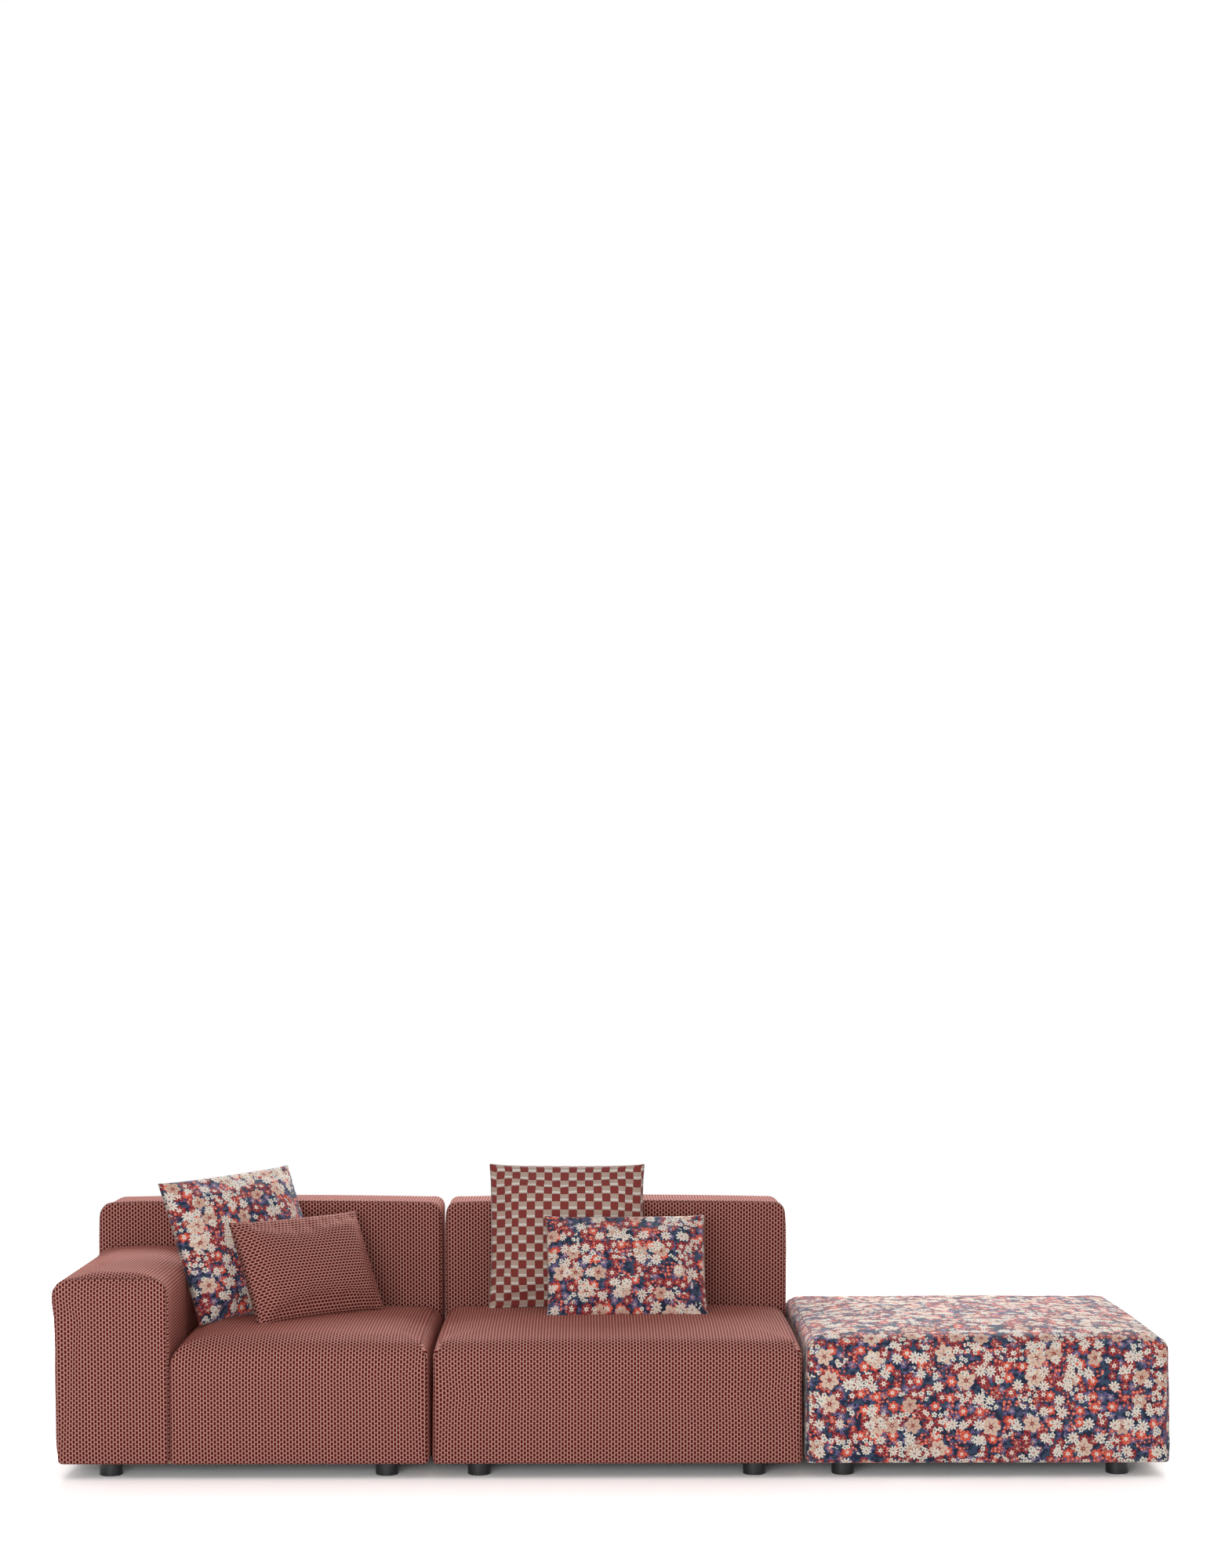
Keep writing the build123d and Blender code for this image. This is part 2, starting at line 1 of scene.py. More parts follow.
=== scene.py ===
# %% [markdown]
# # A low modular sofa, dressed for its photograph
# Three upholstered units stand in a row: one with an arm, one without, and an ottoman. Four loose
# cushions lean on them. The rigid parts come from the CAD frame. This lesson sews the soft ones
# over it, weaves and prints their cloths as procedural materials, and lights the whole on white.

import bpy
import numpy as np
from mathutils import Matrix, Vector


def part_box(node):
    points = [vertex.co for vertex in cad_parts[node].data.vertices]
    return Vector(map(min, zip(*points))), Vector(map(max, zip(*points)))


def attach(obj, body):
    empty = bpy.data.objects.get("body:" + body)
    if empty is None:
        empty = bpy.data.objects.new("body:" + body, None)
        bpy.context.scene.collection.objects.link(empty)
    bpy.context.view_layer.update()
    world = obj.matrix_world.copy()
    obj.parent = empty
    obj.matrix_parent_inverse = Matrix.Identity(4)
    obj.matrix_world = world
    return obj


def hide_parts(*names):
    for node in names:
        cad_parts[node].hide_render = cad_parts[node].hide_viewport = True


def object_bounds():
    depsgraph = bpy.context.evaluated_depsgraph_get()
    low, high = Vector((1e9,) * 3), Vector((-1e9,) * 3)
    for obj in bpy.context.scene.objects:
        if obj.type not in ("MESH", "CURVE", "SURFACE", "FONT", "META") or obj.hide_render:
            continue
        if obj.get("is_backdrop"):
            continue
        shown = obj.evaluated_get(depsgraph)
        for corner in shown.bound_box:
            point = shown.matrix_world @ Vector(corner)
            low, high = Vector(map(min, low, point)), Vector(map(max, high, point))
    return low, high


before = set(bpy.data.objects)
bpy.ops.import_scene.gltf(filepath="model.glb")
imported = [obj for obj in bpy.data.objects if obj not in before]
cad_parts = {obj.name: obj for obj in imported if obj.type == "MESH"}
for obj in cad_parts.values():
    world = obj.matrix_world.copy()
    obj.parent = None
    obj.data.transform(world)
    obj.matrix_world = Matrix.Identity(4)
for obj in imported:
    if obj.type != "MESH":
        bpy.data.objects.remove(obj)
size_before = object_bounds()
print("frame nodes:", len(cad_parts))

# %% [markdown]
# ## A box's skin on one set of shared corners
# An upholstered block starts as the skin of a box. Six separate grids would leave open seams, so
# all six are numbered on one lattice: a corner is the triple (i, j, k), and the triples that lie
# on the skin are kept once. That closes the skin without a merge.


# %% Skin of a box
def box_skin(counts):
    """Corners of a box's skin as whole-number triples, and its quads with the side each is on.

    Side 2a is the low side of axis a and side 2a + 1 the high one, with a = 0, 1, 2 for x, y, z.
    """
    counts = np.array(counts)
    quads = []
    sides = []
    for axis in range(3):
        u, v = [other for other in range(3) if other != axis]
        i, j = np.meshgrid(np.arange(counts[u] - 1), np.arange(counts[v] - 1), indexing="ij")
        for end in (0, 1):
            ring = []
            for di, dj in ((0, 0), (1, 0), (1, 1), (0, 1)):
                triple = np.zeros(i.shape + (3,), int)
                triple[..., axis] = end * (counts[axis] - 1)
                triple[..., u] = i + di
                triple[..., v] = j + dj
                ring.append(triple @ [counts[1] * counts[2], counts[2], 1])
            turned = (end == 1) == (axis == 1)
            quad = np.stack(ring[::-1] if turned else ring, axis=-1).reshape(-1, 4)
            quads.append(quad)
            sides.append(np.full(len(quad), 2 * axis + end))
    keys, flat = np.unique(np.concatenate(quads), return_inverse=True)
    flat = flat.reshape(-1, 4)
    triples = np.stack(np.unravel_index(keys, counts), axis=-1)
    return triples, flat, np.concatenate(sides)


def stations(low, high, edge_steps, pitch):
    """Places along one axis: close together at both rounded ends, then at an even pitch."""
    start = low + np.cumsum(np.array(edge_steps))
    end = high - np.cumsum(np.array(edge_steps))[::-1]
    count = max(2, int(round((end[0] - start[-1]) / pitch)))
    middle = np.linspace(start[-1], end[0], count + 1)[1:-1]
    return np.concatenate([[low], start, middle, end, [high]])


EDGE_STEPS = (0.004, 0.006, 0.007, 0.008, 0.010, 0.012)
PITCH = 0.017
print("edge band:", round(sum(EDGE_STEPS), 3), "m")

# %% [markdown]
# ## Where a block's surface is
# A seat is what three outlines have in common: the front view, the side view and the plan, each
# with its own corner radii. A back or an arm is a rounded panel carried back. Both are written
# here as a distance that is negative inside. A point of the box's skin is pushed along its own
# line from a core inside the block until that distance is zero, found by halving an interval. A
# bevel on a box would be quicker, but it can't give each edge its own roll or a top its crown.


# %% Rounded outlines as distances
def rounded(qa, qb, r):
    """Distance to a corner of radius r, from how far a point is past the corner's centre both
    ways: |max(q, 0)| + min(max(qa, qb), 0) - r."""
    return np.hypot(np.maximum(qa, 0), np.maximum(qb, 0)) + np.minimum(np.maximum(qa, qb), 0) - r


def corner_distance(a, b, half_a, half_b, radii):
    """Distance to a rectangle of half sizes (half_a, half_b) with rounded corners: q is
    |p| - half + r, and radii are for (low a, low b), (high a, low b), (high a, high b) and
    (low a, high b)."""
    r = np.where(b < 0, np.where(a < 0, radii[0], radii[1]), np.where(a > 0, radii[2], radii[3]))
    return rounded(np.abs(a) - half_a + r, np.abs(b) - half_b + r, r)


def carried_distance(outline, along, half, radius):
    """An outline's distance carried along a line of half length half, its end edges rounded."""
    return rounded(outline + radius, np.abs(along) - half + radius, radius)


def soft_maximum(values, softness):
    """The larger of several distances, its creases rounded: s log(sum of exp(value / s)).

    On a flat side two of the three outlines agree, so s log 2 is taken off again.
    """
    values = np.stack(values)
    top = values.max(axis=0)
    summed = np.exp((values - top) / softness).sum(axis=0)
    return top + softness * (np.log(summed) - np.log(2))


outside = corner_distance(0.503, 0.0, 0.5, 0.5, [0.05] * 4)
print("a point 3 mm outside a 1 m square is", round(1000 * float(outside), 1), "mm off")

# %% Seats and panels as distances
CREASE = 0.0015


def crown_drop(height, half_height, ratio, crown):
    """How far a crowned top has fallen away from its middle: crown times ratio squared at the
    top of the block, less and less below it and nothing at its foot."""
    share = np.clip((height / half_height + 1) / 2, 0, 1)
    return crown * share * np.clip(ratio, -1, 1) ** 2


def seat_distance(p, half, crown, radii):
    """Distance to a seat block centred on the origin; radii are those of its front view, its
    side view and its plan."""
    x, y, z = p.T
    front_radii, side_radii, plan_radii = radii
    lifted = z + crown_drop(z, half[2], x / half[0], crown)
    lifted = lifted + crown_drop(z, half[2], y / half[1], crown)
    front_view = corner_distance(x, lifted, half[0], half[2], front_radii)
    side_view = corner_distance(y, lifted, half[1], half[2], side_radii)
    plan = corner_distance(x, y, half[0], half[1], plan_radii)
    return soft_maximum([front_view, side_view, plan], CREASE)


def panel_distance(p, half, crown, radii, tuck=0.0):
    """Distance to a back or an arm block centred on the origin: its front view carried back.
    tuck is how far its outer side is drawn in at the foot."""
    x, y, z = p.T
    front_radii, edge = radii
    x = x - np.where(x < 0, tuck * np.clip((1 - z / half[2]) / 2, 0, 1), 0)
    lifted = z + crown_drop(z, half[2], x / half[0], crown)
    front_view = corner_distance(x, lifted, half[0], half[2], front_radii)
    return carried_distance(front_view, y, half[1], edge)


print("a crown of 10 mm falls", 1000 * crown_drop(0.2, 0.2, 0.5, 0.010), "mm half way to the edge")

# %% Skin pushed out to its surface
CORE_DEPTH = 0.080
CORE_SHARE = 0.85
HALVINGS = 26


def pushed_out(p, half, distance):
    """Each skin point moved along its line from the core to where the distance is zero."""
    depth = np.minimum(CORE_DEPTH, half * CORE_SHARE)
    core = np.clip(p, depth - half, half - depth)
    way = p - core
    way /= np.linalg.norm(way, axis=1)[:, None]
    near = np.zeros(len(p))
    far = np.full(len(p), 2 * CORE_DEPTH)
    for _ in range(HALVINGS):
        middle = (near + far) / 2
        inside = distance(core + way * middle[:, None]) < 0
        near = np.where(inside, middle, near)
        far = np.where(inside, far, middle)
    return core + way * near[:, None]


print("the skin is found to", round(1e9 * 2 * CORE_DEPTH / 2**HALVINGS, 1), "nanometres")

# %% [markdown]
# ## How the cloth is cut
# A seat is wrapped by one cloth that runs up the front, over the top and down the back, with a
# panel sewn to each end. A back or an arm has a front and a rear panel, with one strip of boxing
# between them. Painting the weave straight through the block would smear it round the rolls, so
# the UV map gives every corner of a quad its place in metres on the flat cloth that its side was
# cut from, and the weave lies straight there.


# %% Lengths along the cloth
def ring_length(triples, counts, p, ring):
    """Length from the first of a ring of lattice corners to each: the steps between them added
    up."""
    strides = np.array([counts[1] * counts[2], counts[2], 1])
    rows = np.searchsorted(triples @ strides, ring @ strides)
    steps = np.linalg.norm(np.diff(p[rows], axis=0), axis=1)
    return np.concatenate([[0], np.cumsum(steps)])


def wrapped_length(triples, counts, p, across):
    """Length along the cloth wrapped round an axis, from one ring in mid block."""
    other = 1 - across
    wide, tall = counts[other], counts[2]
    b = np.concatenate([np.zeros(tall, int), np.arange(1, wide), np.full(tall - 1, wide - 1)])
    k = np.concatenate([np.arange(tall), np.full(wide - 1, tall - 1), np.arange(tall - 2, -1, -1)])
    ring = np.zeros((len(b), 3), int)
    ring[:, across] = counts[across] // 2
    ring[:, other] = b
    ring[:, 2] = k
    table = np.zeros((wide, tall))
    table[b, k] = ring_length(triples, counts, p, ring)
    return table[triples[:, other], triples[:, 2]]


def hem_length(triples, counts, p):
    """Length of cloth turned under the block, from its front edge, measured in mid block."""
    columns = np.arange(counts[1])
    ring = np.stack([np.full(counts[1], counts[0] // 2), columns, np.zeros(counts[1], int)], 1)
    return ring_length(triples, counts, p, ring)[triples[:, 1]]


cube, cube_quads, _ = box_skin([2, 2, 2])
print("cloth up, over and down a 1 m cube:", wrapped_length(cube, [2, 2, 2], cube, 0).max(), "m")


# %% Places on the flat cloth
def cloth_places(triples, counts, p, quads, sides, across):
    """UV of every quad corner. The wrapped cloth goes round the axis across, panels close it,
    and the hem goes on from the foot of the front."""
    other = 1 - across
    length = wrapped_length(triples, counts, p, across)
    along = np.stack([p[:, 0], length], axis=1) if across == 0 else np.stack([length, p[:, 1]], 1)
    panel = p[:, [other, 2]]
    foot = 0.0 if across == 0 else p[:, 2].min()
    hem = np.stack([p[:, 0], foot - hem_length(triples, counts, p)], axis=1)
    uv = along[quads]
    on_panel = (sides == 2 * across) | (sides == 2 * across + 1)
    uv[on_panel] = panel[quads[on_panel]]
    uv[sides == 4] = hem[quads[sides == 4]]
    return uv


def seam_gap(p, half, across):
    """Distance of a skin point from the seam round each panel: the larger of its distances to
    the panel's side and to the nearest side of the wrapped cloth."""
    gaps = half - np.abs(p)
    return np.maximum(gaps[:, across], np.minimum(gaps[:, 1 - across], half[2] - p[:, 2]))


print("a cube's first corner is", seam_gap(np.full((1, 3), -1.0), np.ones(3), 0)[0], "from a seam")


# %% Normals from arrays
def corner_normals(p, quads):
    """Unit normals at the corners: the sum of the crossed diagonals of the quads round each."""
    crossed = np.cross(p[quads[:, 2]] - p[quads[:, 0]], p[quads[:, 3]] - p[quads[:, 1]])
    total = np.zeros_like(p)
    for place in range(4):
        np.add.at(total, quads[:, place], crossed)
    return total / np.linalg.norm(total, axis=1)[:, None]


print("the low corner of a cube points along", corner_normals(cube * 1.0, cube_quads)[0].round(2))

# %% [markdown]
# ## Letting the stuffing press on the cloth
# Real covers are sewn a little small and the foam or the fibre swells them, which pulls small
# folds out of the seams. Blender's cloth with a pressure inside does the same. The sides that
# touch a neighbour are held, and no corner may move further than its own cap, so a unit keeps
# its gap. The result is written back into the mesh, so no simulation is left on the piece. Folds
# drawn by hand would take longer and look stamped.

# %% Pressure inside a sewn cover
SWELL_FRAMES = 20
CLOTH_MASS = 0.35
CLOTH_BENDING = 0.4
SOLVER_STEPS = 4


def placed(name, data):
    """A new object for a mesh, a lamp or a camera, put into the scene."""
    obj = bpy.data.objects.new(name, data)
    bpy.context.collection.objects.link(obj)
    return obj


def swelled(name, p, quads, held, cap, pressure, stiffness):
    """Corners after cloth under pressure for a few frames, each one's move cut to its cap."""
    mesh = bpy.data.meshes.new(name)
    mesh.from_pydata(p.tolist(), [], quads.tolist())
    obj = placed(name, mesh)
    group = obj.vertex_groups.new(name="held")
    group.add(np.flatnonzero(held).tolist(), 1.0, "REPLACE")
    cloth = obj.modifiers.new("swell", "CLOTH")
    cloth.settings.quality = SOLVER_STEPS
    cloth.settings.mass = CLOTH_MASS
    cloth.settings.tension_stiffness = stiffness
    cloth.settings.compression_stiffness = stiffness
    cloth.settings.shear_stiffness = stiffness / 3
    cloth.settings.bending_stiffness = CLOTH_BENDING
    cloth.settings.vertex_group_mass = "held"
    cloth.settings.use_pressure = True
    cloth.settings.uniform_pressure_force = pressure
    cloth.settings.effector_weights.gravity = 0
    cloth.collision_settings.use_collision = False
    cloth.point_cache.frame_end = SWELL_FRAMES
    for step in range(1, SWELL_FRAMES + 1):
        bpy.context.scene.frame_set(step)
    shaped = obj.evaluated_get(bpy.context.evaluated_depsgraph_get())
    flat = np.empty(len(p) * 3, np.float32)
    shaped.data.vertices.foreach_get("co", flat)
    moved = flat.reshape(-1, 3) - p
    far = np.linalg.norm(moved, axis=1)
    kept = np.minimum(1, cap / np.maximum(far, 1e-9))
    bpy.data.objects.remove(obj)
    bpy.data.meshes.remove(mesh)
    bpy.context.scene.frame_set(1)
    print(name, "swelled by up to", round(float((far * kept).max() * 1000), 1), "mm")
    return p + moved * kept[:, None]


print("frames of swelling:", SWELL_FRAMES)

# %% [markdown]
# ## Finishing a soft piece
# Every soft piece ends the same way: its cloth is one mesh with a UV map in metres, a value on
# each corner that says how far the nearest seam is, and one level of subdivision. A finer grid
# would look the same, but it would make the simulation slow. The piece then replaces its CAD
# solids and rides on their body.

# %% A sewn piece from its arrays
SOFT_LEVELS = 1


def sewn_piece(name, p, quads, uv, gap, material, body, replaced):
    """An object from corners, quads, UVs and seam distances. It rides on a body and replaces CAD
    nodes."""
    used, flat = np.unique(quads, return_inverse=True)
    quads = flat.reshape(-1, 4)
    mesh = bpy.data.meshes.new(name)
    mesh.from_pydata(p[used].tolist(), [], quads.tolist())
    layer = mesh.uv_layers.new(name="cloth")
    layer.data.foreach_set("uv", uv.reshape(-1).astype(np.float32))
    seam = mesh.attributes.new("seam", "FLOAT", "POINT")
    seam.data.foreach_set("value", gap[used].astype(np.float32))
    mesh.polygons.foreach_set("use_smooth", np.ones(len(quads), bool))
    mesh.materials.append(material)
    obj = placed(name, mesh)
    rounder = obj.modifiers.new("rounder", "SUBSURF")
    rounder.levels = SOFT_LEVELS
    rounder.render_levels = SOFT_LEVELS
    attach(obj, body)
    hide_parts(*replaced)
    print(name, len(quads), "quads")
    return obj


print("each quad of a sewn piece becomes", 4**SOFT_LEVELS)

# %% [markdown]
# ## Cloths by the thread
# A cloth is drawn by small sums on the UV map: where a thread's colour begins and ends. A picture
# of the cloth could be wrapped on instead, but it would repeat and blur close up. The helper below
# adds one sum to a material, so a formula reads as a few short lines.

# %% Sums inside a material
SEAM_SHADE = 0.0045
PAINTED_SEAM_SHADE_SHARE = 0.45
PAINTED_SEAM_SHADE_COLOUR = (0.02, 0.008, 0.008)
SEAM_SINK = 1.5
CLOTH_GLOSS = 0.2
CLOTH_SHEEN = 0.3
SHEEN_ROUGHNESS = 0.4
BUMP_STRENGTH = 0.8


class Cloth:
    """A fabric material and the few kinds of node that its pattern is written with."""

    def __init__(self, name, roughness):
        self.material = bpy.data.materials.new(name)
        self.material.use_nodes = True
        self.tree = self.material.node_tree
        self.shader = self.tree.nodes["Principled BSDF"]
        self.shader.inputs["Roughness"].default_value = roughness
        self.shader.inputs["Specular IOR Level"].default_value = CLOTH_GLOSS
        self.shader.inputs["Sheen Weight"].default_value = CLOTH_SHEEN
        self.shader.inputs["Sheen Roughness"].default_value = SHEEN_ROUGHNESS
        self.uv = self.node("ShaderNodeUVMap", uv_map="cloth").outputs["UV"]

    def node(self, kind, **settings):
        """A node of a kind, with its settings."""
        made = self.tree.nodes.new(kind)
        for name, value in settings.items():
            setattr(made, name, value)
        return made

    def feed(self, made, index, value):
        """An input gets a link from a socket, or else a plain value."""
        if isinstance(value, bpy.types.NodeSocket):
            self.tree.links.new(value, made.inputs[index])
        else:
            made.inputs[index].default_value = value

    def sum(self, operation, *values):
        """One sum of its values, by the name that Blender gives it."""
        made = self.node("ShaderNodeMath", operation=operation)
        for index, value in enumerate(values):
            self.feed(made, index, value)
        return made.outputs[0]

    def step(self, value, low, high):
        """0 below low, 1 above high, smooth between; low may be the larger."""
        made = self.node("ShaderNodeMapRange", interpolation_type="SMOOTHSTEP")
        for index, number in enumerate((value, low, high, 0.0, 1.0)):
            self.feed(made, index, number)
        return made.outputs[0]

    def mix(self, share, first, second):
        """The first colour where share is 0, the second where it is 1."""
        made = self.node("ShaderNodeMix", data_type="RGBA")
        self.feed(made, 0, share)
        self.feed(made, 6, first if isinstance(first, bpy.types.NodeSocket) else (*first, 1.0))
        self.feed(made, 7, second if isinstance(second, bpy.types.NodeSocket) else (*second, 1.0))
        return made.outputs[2]

    def split(self, vector):
        """The x and the y of a vector."""
        made = self.node("ShaderNodeSeparateXYZ")
        self.feed(made, 0, vector)
        return made.outputs[0], made.outputs[1]

    def noise(self, vector, scale, detail):
        """A noise between 0 and 1 with so many cells per metre."""
        made = self.node("ShaderNodeTexNoise", noise_dimensions="2D")
        self.feed(made, "Vector", vector)
        made.inputs["Scale"].default_value = scale
        made.inputs["Detail"].default_value = detail
        return made.outputs[0]

    def surface(self, colour, height, depth):
        """The colour, and a bump of a height times a depth in metres."""
        self.feed(self.shader, "Base Color", colour)
        bump = self.node("ShaderNodeBump")
        bump.inputs["Strength"].default_value = BUMP_STRENGTH
        bump.inputs["Distance"].default_value = depth
        self.feed(bump, "Height", height)
        self.feed(self.shader, "Normal", bump.outputs[0])
        return self.material

    def finish(self, colour, height, depth):
        """Colour darkened along the seams as painted shade in their grooves, and a bump from the
        threads and the seam's groove.
        """
        seam = self.node("ShaderNodeAttribute", attribute_name="seam").outputs["Fac"]
        near = self.step(seam, SEAM_SHADE, 0.0)
        # painted shade: within SEAM_SHADE of a seam the colour is pulled towards a near-black red,
        # standing in for the shade in the seam's groove
        shade = self.mix(self.sum("MULTIPLY", near, PAINTED_SEAM_SHADE_SHARE), colour, PAINTED_SEAM_SHADE_COLOUR)
        sunk = self.sum("SUBTRACT", height, self.sum("MULTIPLY", near, SEAM_SINK))
        return self.surface(shade, sunk, depth)


def colour(red, green, blue):
    """A colour seen as 0 to 255 in a picture, as the linear light that a shader wants."""
    seen = np.array([red, green, blue]) / 255
    return tuple(np.where(seen <= 0.04045, seen / 12.92, ((seen + 0.055) / 1.055) ** 2.4).tolist())


print("a grey of 128 is", round(colour(128, 128, 128)[0], 3), "in linear light")

# %% [markdown]
# ## The woven cover cloth
# The cloth is a honeycomb weave: upright dark red ovals in columns, every other column moved by
# half a step, each oval ringed by a pale thread with salmon between. Threads of real geometry
# would take millions of faces, so the pattern is a formula with a bump: the oval is
# |dx / a|^n + |dy / b|^n < 1 round the middle of its cell.

# %% Woven cloth
COLUMN_PITCH = 0.0084
ROW_PITCH = 0.0123
OVAL_HALF_WIDTH = 0.00355
OVAL_HALF_HEIGHT = 0.0052
OVAL_POWER = 2.8
OVAL_EDGE = (0.62, 1.12)
OVAL_MIDDLE = (0.28, 0.02)
UPRIGHT_EDGE = (1.05, 0.7)
WEAVE_FIBRES = 900.0
WEAVE_DEPTH = 0.0009


def woven_cloth(name, turned):
    """The honeycomb weave; turned lays its columns along the other direction of the cloth."""
    cloth = Cloth(name, 0.85)
    cloth.shader.inputs["Sheen Tint"].default_value = (*colour(220, 112, 98), 1.0)
    across, along = cloth.split(cloth.uv)
    if turned:
        across, along = along, across
    column = cloth.sum("DIVIDE", across, COLUMN_PITCH)
    odd = cloth.sum("FLOORED_MODULO", cloth.sum("FLOOR", column), 2.0)
    row = cloth.sum("MULTIPLY_ADD", odd, 0.5, cloth.sum("DIVIDE", along, ROW_PITCH))
    dx = cloth.sum("SUBTRACT", cloth.sum("FRACT", column), 0.5)
    dy = cloth.sum("SUBTRACT", cloth.sum("FRACT", row), 0.5)
    wide = cloth.sum("MULTIPLY", cloth.sum("ABSOLUTE", dx), COLUMN_PITCH / OVAL_HALF_WIDTH)
    tall = cloth.sum("MULTIPLY", cloth.sum("ABSOLUTE", dy), ROW_PITCH / OVAL_HALF_HEIGHT)
    oval = cloth.sum(
        "ADD", cloth.sum("POWER", wide, OVAL_POWER), cloth.sum("POWER", tall, OVAL_POWER)
    )
    fibre = cloth.noise(cloth.uv, WEAVE_FIBRES, 2.0)
    outside = cloth.step(oval, *OVAL_EDGE)
    upright = cloth.mix(fibre, colour(156, 120, 104), colour(214, 182, 162))
    level = cloth.mix(fibre, colour(174, 104, 98), colour(224, 156, 148))
    ring = cloth.mix(cloth.step(wide, *UPRIGHT_EDGE), upright, level)
    red = cloth.mix(fibre, colour(70, 9, 8), colour(144, 34, 31))
    red = cloth.mix(cloth.step(oval, *OVAL_MIDDLE), red, colour(46, 8, 10))
    height = cloth.sum("SUBTRACT", cloth.sum("MULTIPLY", fibre, 0.35), outside)
    return cloth.finish(cloth.mix(outside, red, ring), height, WEAVE_DEPTH)


woven = woven_cloth("woven_cloth", False)
woven_turned = woven_cloth("woven_cloth_turned", True)
print("columns per metre:", round(1 / COLUMN_PITCH))

# %% [markdown]
# ## The printed floral cloth
# The ottoman and two cushions wear a dense small-flowered print on navy. This one is drawn anew
# from seven layers of simple blooms. A layer scatters points over the cloth with a Voronoi
# texture, and round each point, at angle w, the petals end at the distance
# reach (1 - notch (1 - |sin(n w / 2)|)): n petals with a notch between them. Later layers lie on
# top, as a printer lays one screen over another.

# %% Inks of the print
NAVY = colour(34, 42, 64)
SLATE = colour(60, 76, 100)
PERIWINKLE = colour(110, 98, 140)
BRICK = colour(150, 42, 46)
ORANGE = colour(222, 84, 62)
PEACH = colour(214, 178, 158)
SAND = colour(226, 196, 176)
CREAM = colour(242, 234, 220)
print("navy in linear light:", [round(part, 3) for part in NAVY])

# %% One layer of blooms
SCATTER = 0.72
SMALLEST = 0.78
SIZE_SPREAD = 0.3
PATCH_CELLS = 17.0
VEIN_SHARE = 0.55
PETAL_EDGE = (1.04, 0.94)
FULL_TURN = 6.283


def blooms(cloth, place, under, pitch, shift, petals, reach, notch, heart, share, tints, patch):
    """A layer of flowers over the colour under it. pitch is the mean spacing in metres, reach a
    petal's length over the pitch, share the part of the points that flower, tints are (first,
    second, heart), and patch keeps the layer to where a slow noise is above it."""
    moved = cloth.node("ShaderNodeVectorMath", operation="ADD")
    cloth.feed(moved, 0, place)
    moved.inputs[1].default_value = (*shift, 0.0)
    points = cloth.node("ShaderNodeTexVoronoi", voronoi_dimensions="2D")
    cloth.feed(points, "Vector", moved.outputs[0])
    points.inputs["Scale"].default_value = 1 / pitch
    points.inputs["Randomness"].default_value = SCATTER
    local = cloth.node("ShaderNodeVectorMath", operation="SUBTRACT")
    cloth.feed(local, 0, moved.outputs[0])
    cloth.feed(local, 1, points.outputs["Position"])
    chance = cloth.node("ShaderNodeSeparateColor")
    cloth.feed(chance, 0, points.outputs["Color"])
    x, y = cloth.split(local.outputs[0])
    turn = cloth.sum("MULTIPLY_ADD", chance.outputs[2], FULL_TURN, cloth.sum("ARCTAN2", y, x))
    wave = cloth.sum("ABSOLUTE", cloth.sum("SINE", cloth.sum("MULTIPLY", turn, petals / 2)))
    grown = cloth.sum("MULTIPLY_ADD", chance.outputs[0], SIZE_SPREAD, SMALLEST)
    notched = cloth.sum("MULTIPLY_ADD", wave, notch * reach, reach - notch * reach)
    edge = cloth.sum("MULTIPLY", grown, notched)
    radius = cloth.sum("DIVIDE", points.outputs["Distance"], edge)
    chosen = cloth.sum("LESS_THAN", chance.outputs[1], share)
    flower = cloth.sum("MULTIPLY", cloth.step(radius, *PETAL_EDGE), chosen)
    if patch > 0:
        slow = cloth.noise(moved.outputs[0], PATCH_CELLS, 1.0)
        flower = cloth.sum("MULTIPLY", flower, cloth.step(slow, patch, patch + 0.02))
    picked = cloth.step(chance.outputs[0], 0.48, 0.52)
    petal = cloth.mix(picked, tints[0], tints[1])
    vein = cloth.sum("MULTIPLY", cloth.step(wave, 0.80, 0.97), cloth.step(radius, 0.8, 0.3))
    petal = cloth.mix(cloth.sum("MULTIPLY", vein, VEIN_SHARE), petal, tints[2])
    petal = cloth.mix(cloth.step(radius, heart + 0.06, heart), petal, tints[2])
    petal = cloth.mix(cloth.step(radius, heart * 0.45, heart * 0.3), petal, tints[0])
    return cloth.mix(flower, under, petal)


print("a bloom grows to", SMALLEST, "to", round(SMALLEST + SIZE_SPREAD, 2), "of its reach")

# %% The whole print
LINE_WOBBLE = 0.004
WOBBLE_CELLS = 160.0
PRINT_FIBRES = 1100.0
PRINT_DEPTH = 0.0007


